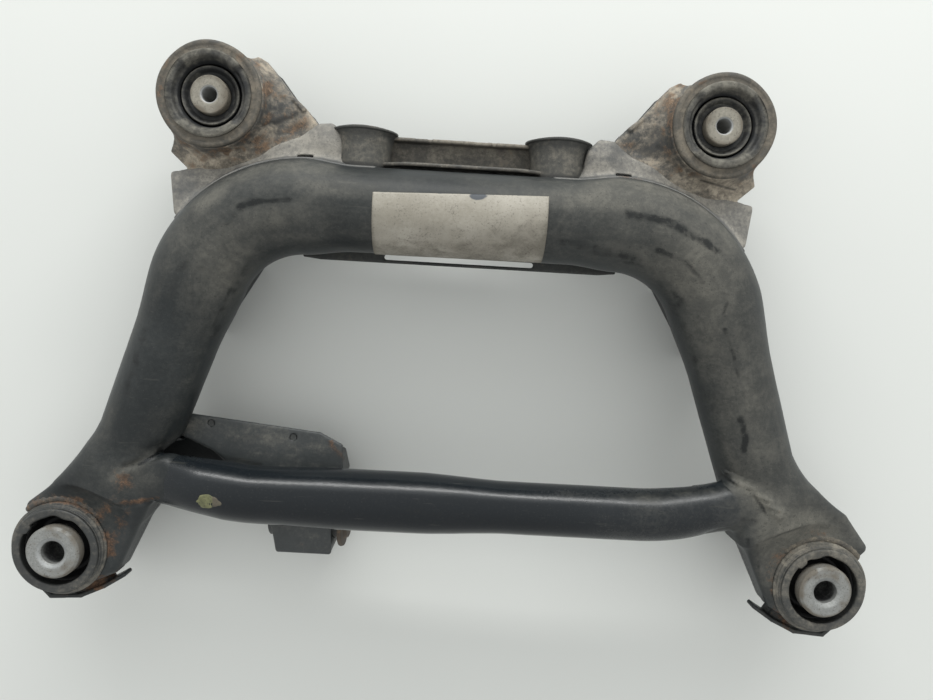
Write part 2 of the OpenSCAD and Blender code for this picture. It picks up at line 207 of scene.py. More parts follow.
def nets(f, lo, hi, h, pulls=3):
    """The skin of f < 0 as quads: one point in each cell that it crosses, pulled onto it."""
    lo = np.asarray(lo, float)
    n = [int(math.ceil((b - a) / h)) + 1 for a, b in zip(lo, hi)]
    ax = [lo[i] + h * np.arange(n[i]) for i in range(3)]
    v = np.broadcast_to(f(ax[0][:, None, None], ax[1][None, :, None], ax[2][None, None, :]), n).astype(np.float32)
    s = v < 0
    c = np.zeros([k - 1 for k in n], np.uint8)
    for a, b, d in CORNERS:
        c += s[a:n[0] - 1 + a, b:n[1] - 1 + b, d:n[2] - 1 + d]
    on = (c > 0) & (c < 8)
    cells = np.argwhere(on)
    idx = np.full(on.shape, -1, np.int64)
    idx[on] = np.arange(len(cells))
    i, j, k = cells.T
    cv = np.stack([v[i + a, j + b, k + d] for a, b, d in CORNERS], 1).astype(float)
    pos, cnt = np.zeros((len(cells), 3)), np.zeros(len(cells))
    for a in range(8):
        for axis in range(3):
            if CORNERS[a][axis] == 0:
                va, vb = cv[:, a], cv[:, a + (4, 2, 1)[axis]]
                m = (va < 0) != (vb < 0)
                p = np.tile(np.array(CORNERS[a], float), (m.sum(), 1))
                p[:, axis] += va[m] / (va[m] - vb[m])
                pos[m] += p
                cnt[m] += 1
    p = lo + h * (cells + pos / cnt[:, None])
    e = 0.2 * h
    for _ in range(pulls):
        d = f(p[:, 0], p[:, 1], p[:, 2])
        g = np.stack([
            f(p[:, 0] + e, p[:, 1], p[:, 2]) - f(p[:, 0] - e, p[:, 1], p[:, 2]),
            f(p[:, 0], p[:, 1] + e, p[:, 2]) - f(p[:, 0], p[:, 1] - e, p[:, 2]),
            f(p[:, 0], p[:, 1], p[:, 2] + e) - f(p[:, 0], p[:, 1], p[:, 2] - e)], 1) / (2 * e)
        move = (d / np.maximum((g * g).sum(1), 0.2))[:, None] * g
        p = p - np.clip(move, -0.4 * h, 0.4 * h)
    faces = []
    for axis in range(3):
        sl = [slice(None)] * 3
        sl[axis] = slice(0, n[axis] - 1)
        sh = [slice(None)] * 3
        sh[axis] = slice(1, n[axis])
        inside = s[tuple(sl)]
        w = np.argwhere(inside != s[tuple(sh)])
        o = [b for b in range(3) if b != axis]
        ok = (w[:, o[0]] > 0) & (w[:, o[0]] < n[o[0]] - 1) & (w[:, o[1]] > 0) & (w[:, o[1]] < n[o[1]] - 1)
        w = w[ok]
        quad = []
        for du, dv in ((1, 1), (0, 1), (0, 0), (1, 0)):
            t = w.copy()
            t[:, o[0]] -= du
            t[:, o[1]] -= dv
            quad.append(idx[t[:, 0], t[:, 1], t[:, 2]])
        quad = np.stack(quad, 1)
        out = inside[w[:, 0], w[:, 1], w[:, 2]]
        keep = out if axis != 1 else ~out
        quad[~keep] = quad[~keep][:, ::-1]
        faces.append(quad)
    return p, np.concatenate(faces)


def mirrored(v, f):
    w = v.copy()
    w[:, 0] *= -1
    return w, np.asarray(f)[:, ::-1]


def softened(profile, r=0.7, parts=3):
    """A closed profile with its corners rounded and its long lines divided."""
    p = [np.array(a, float) for a in profile]
    out = []
    for i in range(len(p)):
        a, b, c = p[i - 1], p[i], p[(i + 1) % len(p)]
        la, lc = np.linalg.norm(a - b), np.linalg.norm(c - b)
        k = min(r, 0.42 * la, 0.42 * lc)
        s, e = b + (a - b) * k / la, b + (c - b) * k / lc
        for t in np.linspace(0, 1, parts + 1):
            out.append((1 - t) ** 2 * s + 2 * t * (1 - t) * b + t * t * e)
    full = []
    for i in range(len(out)):
        a, b = out[i], out[(i + 1) % len(out)]
        m = max(1, int(np.linalg.norm(b - a) / (1.6 if -16 < 0.5 * (a[1] + b[1]) < 100 else 5.0)))
        for q in range(m):
            full.append(a + (b - a) * q / m)
    return np.array(full)


def lathe(profile, n=120, shape=None, r=0.7):
    """A ring about Z from a profile of (radius, height) that runs anticlockwise; shape may move the points by angle."""
    p = softened(profile, r)
    th = np.arange(n) * 2 * math.pi / n
    rr, zz = np.meshgrid(p[:, 0], th)[0], np.meshgrid(p[:, 1], th)[0]
    tt = np.tile(th[:, None], (1, len(p)))
    if shape:
        rr, zz = shape(rr.copy(), zz.copy(), tt)
    v = np.stack([rr * np.cos(tt), rr * np.sin(tt), zz], 2).reshape(-1, 3)
    m = len(p)
    a, b = np.meshgrid(np.arange(n), np.arange(m), indexing="ij")
    a1, b1 = (a + 1) % n, (b + 1) % m
    f = np.stack([a * m + b, a1 * m + b, a1 * m + b1, a * m + b1], 2).reshape(-1, 4)
    area = 0.5 * np.sum(p[:, 0] * np.roll(p[:, 1], -1) - np.roll(p[:, 0], -1) * p[:, 1])
    if area < 0:
        f = f[:, ::-1]
    return v, f


def sweep(centre, side, up, radius, n=96, shape=None):
    """A closed tube along a line of points; radius may be one number a point or an array of points by n."""
    centre, side, up = np.asarray(centre, float), np.asarray(side, float), np.asarray(up, float)
    th = np.arange(n) * 2 * math.pi / n
    rad = np.asarray(radius, float)
    if rad.ndim == 1:
        rad = np.tile(rad[:, None], (1, n))
    if shape is not None:
        rad = rad + shape
    v = centre[:, None, :] + rad[:, :, None] * (np.cos(th)[None, :, None] * side[:, None, :] + np.sin(th)[None, :, None] * up[:, None, :])
    m = len(centre)
    v = np.concatenate([v.reshape(-1, 3), centre[:1], centre[-1:]])
    i, j = np.meshgrid(np.arange(m - 1), np.arange(n), indexing="ij")
    j1 = (j + 1) % n
    f = np.stack([i * n + j, i * n + j1, (i + 1) * n + j1, (i + 1) * n + j], 2).reshape(-1, 4).tolist()
    j = np.arange(n)
    for a in range(n):
        f.append([m * n, (a + 1) % n, a])
        f.append([m * n + 1, (m - 1) * n + a, (m - 1) * n + (a + 1) % n])
    d = np.cross(side[0], up[0]) @ (centre[1] - centre[0])
    if d < 0:
        f = [q[::-1] for q in f]
    # outward check on the first quad
    q = f[0]
    nn = np.cross(v[q[1]] - v[q[0]], v[q[2]] - v[q[0]])
    if nn @ (v[q[0]] - centre[0]) < 0:
        f = [q[::-1] for q in f]
    return v, f


def bead(path, rad, seed, n=12, closed=False, wave=5.0, flat=1.0, lumpy=1.0):
    """A weld bead along a line of points: lumpy, with the ripple of its passes."""
    p = np.asarray(path, float)
    d = np.linalg.norm(np.diff(p, axis=0), axis=1)
    s = np.concatenate([[0], np.cumsum(d)])
    m = max(8, int(s[-1] / 0.9))
    t = np.linspace(0, s[-1], m)
    c = np.stack([np.interp(t, s, p[:, i]) for i in range(3)], 1)
    for _ in range(2):
        c[1:-1] = (c[:-2] + 2 * c[1:-1] + c[2:]) / 4
    tan = np.gradient(c, axis=0)
    tan /= np.linalg.norm(tan, axis=1)[:, None]
    up = np.tile(np.array([0.12, 0.05, 1.0]), (m, 1))
    side = np.cross(up, tan)
    side /= np.linalg.norm(side, axis=1)[:, None]
    up = np.cross(tan, side)
    env = np.minimum(1, np.minimum(t, s[-1] - t) / (1.6 * rad) + 0.15) if not closed else np.ones(m)
    r = rad * env * (1 + 0.13 * lumpy * np.sin(2 * math.pi * t / wave + 2.0 * noise(c, 14, seed)) + 0.5 * lumpy * (fbm(c, 11, seed + 3) - 0.5))
    th = np.arange(n) * 2 * math.pi / n
    lump = 1 + 0.3 * lumpy * (np.stack([noise(c + 4 * math.cos(a) * side + 4 * math.sin(a) * up, 4.0, seed + 5) for a in th], 1) - 0.5)
    return sweep(c, side, flat * up, r[:, None] * lump, n)


MADE = {}


def piece(name, v, f, mat, replaces=(), paint=None, smooth=True):
    me = bpy.data.meshes.new(name)
    me.from_pydata(metres(v).tolist(), [], [list(map(int, q)) for q in f])
    me.validate()
    me.update()
    if smooth:
        me.polygons.foreach_set("use_smooth", [True] * len(me.polygons))
    ob = bpy.data.objects.new(name, me)
    scene.collection.objects.link(ob)
    me.materials.append(mat)
    if paint is not None:
        n = np.zeros(len(me.vertices) * 3, np.float32)
        me.vertex_normals.foreach_get("vector", n)
        for key, val in paint(np.asarray(v, float), n.reshape(-1, 3).astype(float)).items():
            a = me.attributes.new(key, "FLOAT", "POINT")
            a.data.foreach_set("value", np.clip(np.broadcast_to(val, (len(me.vertices),)), 0, 100).astype(np.float32))
    if replaces:
        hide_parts(*replaces)
    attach(ob, "root")
    MADE[name] = ob
    return ob


# ---------------------------------------------------------------- materials
class Tree:
    def __init__(self, name):
        self.m = bpy.data.materials.new(name)
        self.m.use_nodes = True
        self.t = self.m.node_tree
        self.t.nodes.clear()
        self.out = self.t.nodes.new("ShaderNodeOutputMaterial")
        self.b = self.t.nodes.new("ShaderNodeBsdfPrincipled")
        self.t.links.new(self.b.outputs[0], self.out.inputs[0])
        self.co = self.t.nodes.new("ShaderNodeTexCoord").outputs["Object"]

    def put(self, sock, val):
        if isinstance(val, bpy.types.NodeSocket):
            self.t.links.new(val, sock)
        else:
            sock.default_value = val

    def math(self, op, a, b=0.0, c=None, clamp=False):
        n = self.t.nodes.new("ShaderNodeMath")
        n.operation = op
        n.use_clamp = clamp
        self.put(n.inputs[0], a)
        self.put(n.inputs[1], b)
        if c is not None:
            self.put(n.inputs[2], c)
        return n.outputs[0]

    def add(self, *xs):
        a = xs[0]
        for b in xs[1:]:
            a = self.math("ADD", a, b)
        return a

    def mul(self, a, b, clamp=False):
        return self.math("MULTIPLY", a, b, clamp=clamp)

    def ramp(self, x, lo, hi, a=0.0, b=1.0):
        n = self.t.nodes.new("ShaderNodeMapRange")
        n.interpolation_type = "SMOOTHSTEP"
        n.clamp = True
        self.put(n.inputs["Value"], x)
        n.inputs["From Min"].default_value = lo
        n.inputs["From Max"].default_value = hi
        n.inputs["To Min"].default_value = a
        n.inputs["To Max"].default_value = b
        return n.outputs["Result"]

    def noise(self, scale, detail=3.0, rough=0.55, stretch=None, shift=0.0, distort=0.0):
        n = self.t.nodes.new("ShaderNodeTexNoise")
        n.inputs["Scale"].default_value = scale
        n.inputs["Detail"].default_value = detail
        n.inputs["Roughness"].default_value = rough
        n.inputs["Distortion"].default_value = distort
        v = self.co
        if stretch or shift:
            mp = self.t.nodes.new("ShaderNodeMapping")
            mp.inputs["Location"].default_value = (shift, 0.37 * shift, 0.71 * shift)
            if stretch:
                mp.inputs["Scale"].default_value = stretch
            self.t.links.new(v, mp.inputs["Vector"])
            v = mp.outputs[0]
        self.t.links.new(v, n.inputs["Vector"])
        return n.outputs["Fac"]

    def cells(self, scale):
        n = self.t.nodes.new("ShaderNodeTexVoronoi")
        n.inputs["Scale"].default_value = scale
        self.t.links.new(self.co, n.inputs["Vector"])
        return n.outputs["Distance"]

    def att(self, name):
        n = self.t.nodes.new("ShaderNodeAttribute")
        n.attribute_name = name
        return n.outputs["Fac"]

    def up(self):
        g = self.t.nodes.new("ShaderNodeNewGeometry")
        s = self.t.nodes.new("ShaderNodeSeparateXYZ")
        self.t.links.new(g.outputs["Normal"], s.inputs[0])
        return s.outputs["Z"]

    def mix(self, fac, a, b):
        n = self.t.nodes.new("ShaderNodeMix")
        n.data_type = "RGBA"
        self.put(n.inputs[0], fac)
        self.put(n.inputs[6], a if isinstance(a, bpy.types.NodeSocket) else (*a, 1.0))
        self.put(n.inputs[7], b if isinstance(b, bpy.types.NodeSocket) else (*b, 1.0))
        return n.outputs[2]

    def lerp(self, fac, a, b):
        n = self.t.nodes.new("ShaderNodeMix")
        n.data_type = "FLOAT"
        self.put(n.inputs[0], fac)
        self.put(n.inputs[2], a)
        self.put(n.inputs[3], b)
        return n.outputs[0]

    def bump(self, height, strength, distance):
        n = self.t.nodes.new("ShaderNodeBump")
        n.inputs["Strength"].default_value = strength
        n.inputs["Distance"].default_value = distance
        self.t.links.new(height, n.inputs["Height"])
        self.t.links.new(n.outputs[0], self.b.inputs["Normal"])


def grime(name, coat, dust=((0.185, 0.176, 0.146), (0.095, 0.092, 0.079)), rust=((0.075, 0.045, 0.030), (0.168, 0.098, 0.060)),
          gloss=0.4, film=0.0, rusted=0.0, lift=0.0, spec=0.5, speck=0.5, seed=0.0, bare=(0.010, 0.0135, 0.0165), rubbed=0.5, wobble=1.0):
    """Paint under road dust, with rust where the piece has it. Each piece carries how much: dust, rust, dark, pale,
    clean; at some places dust, dark and pale also carry painted shade and painted light.
    """
    t = Tree(name)
    big = t.noise(9, 3, 0.6, shift=seed + 1.3)
    mid = t.noise(46, 4, 0.62, shift=seed + 4.1, distort=0.6)
    fine = t.noise(240, 5, 0.68, shift=seed + 7.7)
    grain = t.noise(900, 3, 0.6, shift=seed + 2.2)
    smear = t.noise(60, 4, 0.6, stretch=(0.35, 2.2, 1.0), shift=seed + 9.4)
    clean = t.att("clean")
    wob = t.add(*(t.math("MULTIPLY_ADD", n, wobble * a, -0.5 * wobble * a) for n, a in ((big, 0.7), (mid, 0.6), (fine, 0.8), (smear, 0.65))))
    up = t.ramp(t.up(), -0.5, 0.9, -0.28, 0.10)
    d = t.ramp(t.add(t.att("dust"), wob, up, film, t.mul(clean, -0.36)), 0.12, 1.05)
    dustc = t.mix(t.ramp(t.add(mid, t.math("MULTIPLY_ADD", fine, 0.6, -0.3)), 0.32, 0.70), dust[1], dust[0])
    base = t.mix(t.ramp(t.add(big, t.math("MULTIPLY_ADD", fine, 0.5, -0.25)), 0.3, 0.75), coat, tuple(min(1, 1.45 * c + 0.003) for c in coat))
    base = t.mix(clean, base, bare)
    col = t.mix(t.mul(d, 0.92), base, dustc)
    # darker bare paint where the film has been rubbed off, and painted shade where a piece's dark mask marks a recess,
    # slit or hole
    k = t.ramp(t.add(t.att("dark"), t.math("MULTIPLY_ADD", smear, 0.9, -0.45), t.math("MULTIPLY_ADD", fine, 0.7, -0.35)), 0.22, 0.80)
    col = t.mix(t.mul(k, 0.9), col, tuple(rubbed * c for c in coat))
    # rust
    ra = t.math("ADD", t.att("rust"), rusted)
    r = t.mul(t.ramp(t.add(ra, t.math("MULTIPLY_ADD", mid, 0.9, -0.45), t.math("MULTIPLY_ADD", fine, 1.0, -0.5)), 0.30, 0.85), t.ramp(ra, 0.02, 0.22))
    rustc = t.mix(t.ramp(t.add(fine, t.math("MULTIPLY_ADD", grain, 0.6, -0.3)), 0.33, 0.70), rust[0], rust[1])
    col = t.mix(t.mul(r, 0.85), col, rustc)
    # light rubs, scratches and grains, and painted highlights and painted lightening where a piece's pale mask is set
    # for them
    p = t.ramp(t.add(t.att("pale"), t.math("MULTIPLY_ADD", fine, 0.9, -0.45)), 0.3, 0.9)
    col = t.mix(t.mul(p, 0.85), col, (0.36, 0.345, 0.30))
    scr = t.mul(t.ramp(t.noise(330, 2, 0.5, stretch=(0.09, 1.0, 0.5), shift=seed + 3.3), 0.66, 0.76), 0.10)
    col = t.mix(scr, col, dust[0])
    grains = t.mul(t.ramp(grain, 0.60, 0.74), t.lerp(d, 0.16 * speck, 0.7 * speck))
    col = t.mix(grains, col, tuple(min(1, 1.5 * c + 0.05) for c in dust[0]))
    pits = t.mul(t.ramp(t.noise(520, 3, 0.6, shift=seed + 5.5), 0.60, 0.70), t.lerp(d, 0.25, 0.6))
    col = t.mix(pits, col, tuple(0.5 * c for c in coat))
    t.put(t.b.inputs["Base Color"], col)
    rough = t.lerp(d, t.lerp(clean, gloss, 0.21), 0.86)
    rough = t.lerp(k, rough, max(0.25, gloss - 0.06))
    rough = t.lerp(r, rough, 0.95)
    t.put(t.b.inputs["Roughness"], t.add(rough, t.math("MULTIPLY_ADD", fine, 0.16, -0.08)))
    t.b.inputs["Specular IOR Level"].default_value = spec
    h = t.add(t.mul(grain, t.lerp(t.math("MAXIMUM", d, r), 0.08, 0.5)), t.mul(fine, t.lerp(r, t.lerp(clean, 0.3, 0.12), 1.5)), t.mul(mid, t.lerp(clean, 0.35, 0.2)))
    t.bump(h, 0.55, 0.0007 + lift)
    return t.m


M_TUBE = grime("tube_paint", (0.017, 0.0198, 0.0208), gloss=0.40, film=0.10, spec=0.24, bare=(0.005, 0.0072, 0.0092), wobble=0.26,
               dust=((0.162, 0.155, 0.134), (0.112, 0.109, 0.096)))
M_CROSS = grime("cross_tube_paint", (0.012, 0.0148, 0.017), gloss=0.3, film=0.02, spec=0.36, bare=(0.003, 0.0054, 0.0080), wobble=0.34)
M_CONSOLE = grime("console_paint", (0.045, 0.046, 0.045), gloss=0.55, film=0.18, seed=8.0,
                  dust=((0.44, 0.385, 0.305), (0.165, 0.142, 0.112)), rubbed=0.2, wobble=1.3,
                  rust=((0.07, 0.046, 0.031), (0.19, 0.118, 0.072)))
M_GUSSET = grime("gusset_paint", (0.07, 0.072, 0.072), gloss=0.5, film=0.28, seed=11.0,
                 dust=((0.325, 0.306, 0.268), (0.20, 0.190, 0.170)))
M_FUNNEL = grime("sleeve_paint", (0.032, 0.033, 0.031), gloss=0.5, film=0.14, seed=14.0,
                 dust=((0.20, 0.182, 0.15), (0.095, 0.09, 0.076)))
M_PLATE = grime("plate_paint", (0.034, 0.033, 0.030), gloss=0.55, film=0.16, seed=17.0,
                dust=((0.24, 0.218, 0.18), (0.105, 0.097, 0.082)))
M_BRACKET = grime("bracket_paint", (0.030, 0.034, 0.035), gloss=0.46, film=0.02, seed=20.0,
                  dust=((0.19, 0.18, 0.152), (0.10, 0.097, 0.086)))
M_RING = grime("ring_paint", (0.024, 0.026, 0.026), gloss=0.5, film=0.06, seed=23.0, lift=0.0003,
               dust=((0.21, 0.192, 0.158), (0.085, 0.079, 0.066)))
M_FLANGE = grime("flange_dirt", (0.034, 0.033, 0.029), gloss=0.55, film=0.18, seed=26.0, wobble=0.8,
                 dust=((0.205, 0.176, 0.135), (0.105, 0.092, 0.073)))
M_RUBBER = grime("bush_rubber", (0.011, 0.0115, 0.0125), gloss=0.58, film=-0.3, seed=29.0, speck=0.4, spec=0.35,
                 dust=((0.11, 0.10, 0.085), (0.055, 0.05, 0.044)))
M_SEAT = grime("ring_rubber", (0.016, 0.017, 0.018), gloss=0.55, film=0.0, seed=30.0, speck=0.4, spec=0.35,
               dust=((0.19, 0.18, 0.152), (0.085, 0.08, 0.068)))
M_BROWN = grime("brown_rubber", (0.045, 0.035, 0.027), gloss=0.7, film=0.25, seed=31.0, rusted=0.25,
                dust=((0.15, 0.12, 0.09), (0.08, 0.063, 0.047)))
M_WELD = grime("weld_metal", (0.03, 0.029, 0.027), gloss=0.5, film=0.1, rusted=0.1, seed=34.0, lift=0.0004,
               dust=((0.22, 0.19, 0.14), (0.10, 0.088, 0.07)))
M_HIDDEN = grime("under_paint", (0.022, 0.024, 0.025), gloss=0.48, film=0.0, seed=37.0)


def alloy(name, tone, dull=0.5, seed=0.0):
    t = Tree(name)
    mid = t.noise(70, 4, 0.6, shift=seed)
    fine = t.noise(420, 4, 0.7, shift=seed + 2)
    grain = t.noise(1500, 2, 0.5, shift=seed + 5)
    col = t.mix(t.ramp(fine, 0.3, 0.7), tuple(0.72 * c for c in tone), tone)
    soil = t.ramp(t.add(t.att("dust"), t.math("MULTIPLY_ADD", mid, 0.8, -0.4), t.math("MULTIPLY_ADD", fine, 0.7, -0.35)), 0.25, 0.85)
    col = t.mix(t.mul(soil, 0.85), col, (0.115, 0.098, 0.074))
    specks = t.mul(t.ramp(t.noise(700, 3, 0.6, shift=seed + 8), 0.58, 0.68), 0.75)
    col = t.mix(specks, col, (0.07, 0.062, 0.05))
    # the dark mask darkens the front bore walls as painted shade, besides dark stains
    dark = t.ramp(t.add(t.att("dark"), t.math("MULTIPLY_ADD", mid, 0.5, -0.25), t.math("MULTIPLY_ADD", fine, 0.5, -0.25)), 0.35, 0.75)
    col = t.mix(dark, col, (0.03, 0.03, 0.032))
    # the pale mask gives the turned chamfer and lighter bare-metal rear bore walls, brightened as painted light
    edge = t.att("pale")
    col = t.mix(t.mul(t.ramp(edge, 0.2, 0.9), 0.9), col, (0.42, 0.436, 0.445))
    t.put(t.b.inputs["Base Color"], col)
    t.put(t.b.inputs["Metallic"], t.lerp(t.math("MAXIMUM", soil, specks), 0.55, 0.05))
    t.put(t.b.inputs["Roughness"], t.lerp(soil, dull, 0.85))
    rings = t.math("SINE", t.mul(t.att("turned"), 7.0))
    t.bump(t.add(t.mul(rings, 0.25), t.mul(grain, 0.5), t.mul(fine, 0.4), t.mul(soil, 0.5)), 0.4, 0.0003)
    return t.m


M_ALLOY_F = alloy("front_alloy", (0.315, 0.322, 0.312), 0.5, 1.0)
M_ALLOY_R = alloy("rear_alloy", (0.315, 0.296, 0.25), 0.6, 6.0)


def foil():
    t = Tree("label_foil")
    big = t.noise(14, 3, 0.6)
    mid = t.noise(60, 4, 0.6, shift=2.0, distort=0.8)
    fine = t.noise(330, 4, 0.65, shift=4.0)
    rub = t.noise(40, 4, 0.6, stretch=(0.25, 3.0, 1.0), shift=6.0)
    col = t.mix(t.ramp(t.add(big, t.math("MULTIPLY_ADD", fine, 0.4, -0.2)), 0.3, 0.7), (0.258, 0.238, 0.196), (0.37, 0.346, 0.298))
    dirt = t.ramp(t.add(t.att("dust"), t.math("MULTIPLY_ADD", mid, 0.8, -0.4), t.math("MULTIPLY_ADD", fine, 0.7, -0.35), t.math("MULTIPLY_ADD", rub, 0.5, -0.25)), 0.3, 1.0)
    col = t.mix(t.mul(dirt, 0.8), col, (0.13, 0.118, 0.095))
    worn = t.ramp(t.add(t.att("pale"), t.math("MULTIPLY_ADD", rub, 0.8, -0.4), t.math("MULTIPLY_ADD", fine, 0.5, -0.25)), 0.35, 0.8)
    col = t.mix(t.mul(worn, 0.7), col, (0.56, 0.55, 0.51))
    specks = t.mul(t.ramp(t.add(t.noise(560, 4, 0.75, shift=9.0), t.math("MULTIPLY_ADD", mid, 0.3, -0.15)), 0.55, 0.67), 0.62)
    col = t.mix(specks, col, (0.09, 0.08, 0.065))
    dark = t.ramp(t.add(t.att("dark"), t.math("MULTIPLY_ADD", fine, 0.5, -0.25)), 0.35, 0.65)
    col = t.mix(dark, col, (0.05, 0.057, 0.068))
    t.put(t.b.inputs["Base Color"], col)
    t.put(t.b.inputs["Roughness"], t.lerp(dirt, 0.5, 0.8))
    t.bump(t.add(t.mul(mid, 0.5), t.mul(fine, 0.4), t.mul(dirt, 0.3)), 0.35, 0.0004)
    return t.m


M_LABEL = foil()


def daub():
    t = Tree("marking_paint")
    mid = t.noise(160, 4, 0.6)
    fine = t.noise(600, 3, 0.6, shift=3.0)
    col = t.mix(t.ramp(mid, 0.3, 0.7), (0.085, 0.09, 0.04), (0.18, 0.18, 0.085))
    col = t.mix(t.mul(t.ramp(t.add(t.att("dust"), t.math("MULTIPLY_ADD", mid, 0.8, -0.4)), 0.3, 0.7), 0.85), col, (0.085, 0.07, 0.055))
    col = t.mix(t.ramp(fine, 0.58, 0.70), col, (0.03, 0.03, 0.025))
    t.put(t.b.inputs["Base Color"], col)
    t.put(t.b.inputs["Roughness"], t.add(0.45, t.mul(fine, 0.25)))
    t.bump(t.add(mid, t.mul(fine, 0.4)), 0.5, 0.0006)
    return t.m


M_DAUB = daub()


# ---------------------------------------------------------------- soiling
def spot(u, v, cx, cy, rx, ry=None, ang=0.0):
    ry = rx if ry is None else ry
    c, s = math.cos(math.radians(ang)), math.sin(math.radians(ang))
    a, b = (u - cx) * c + (v - cy) * s, -(u - cx) * s + (v - cy) * c
    return np.exp(-(a / rx) ** 2 - (b / ry) ** 2)


def line(u, v, pts, w):
    best = np.full(u.shape, 1e9)
    for (ax, ay), (bx, by) in zip(pts[:-1], pts[1:]):
        ex, ey = bx - ax, by - ay
        t = np.clip(((u - ax) * ex + (v - ay) * ey) / (ex * ex + ey * ey), 0, 1)
        best = np.minimum(best, np.hypot(u - ax - ex * t, v - ay - ey * t))
    return np.exp(-(best / w) ** 2)


def facing(v, n):
    d = CAM - v
    d /= np.linalg.norm(d, axis=1)[:, None]
    return step(0.0, 0.35, (d * n).sum(1))


def rough_line(v, u, w, pts, width, seed):
    """A scuff: soft, broken along its length."""
    return line(u, w, pts, width) * (0.4 + 0.9 * fbm(v, 16, seed)) * (0.72 + 0.4 * step(0.36, 0.58, fbm(v, 6, seed + 40)))


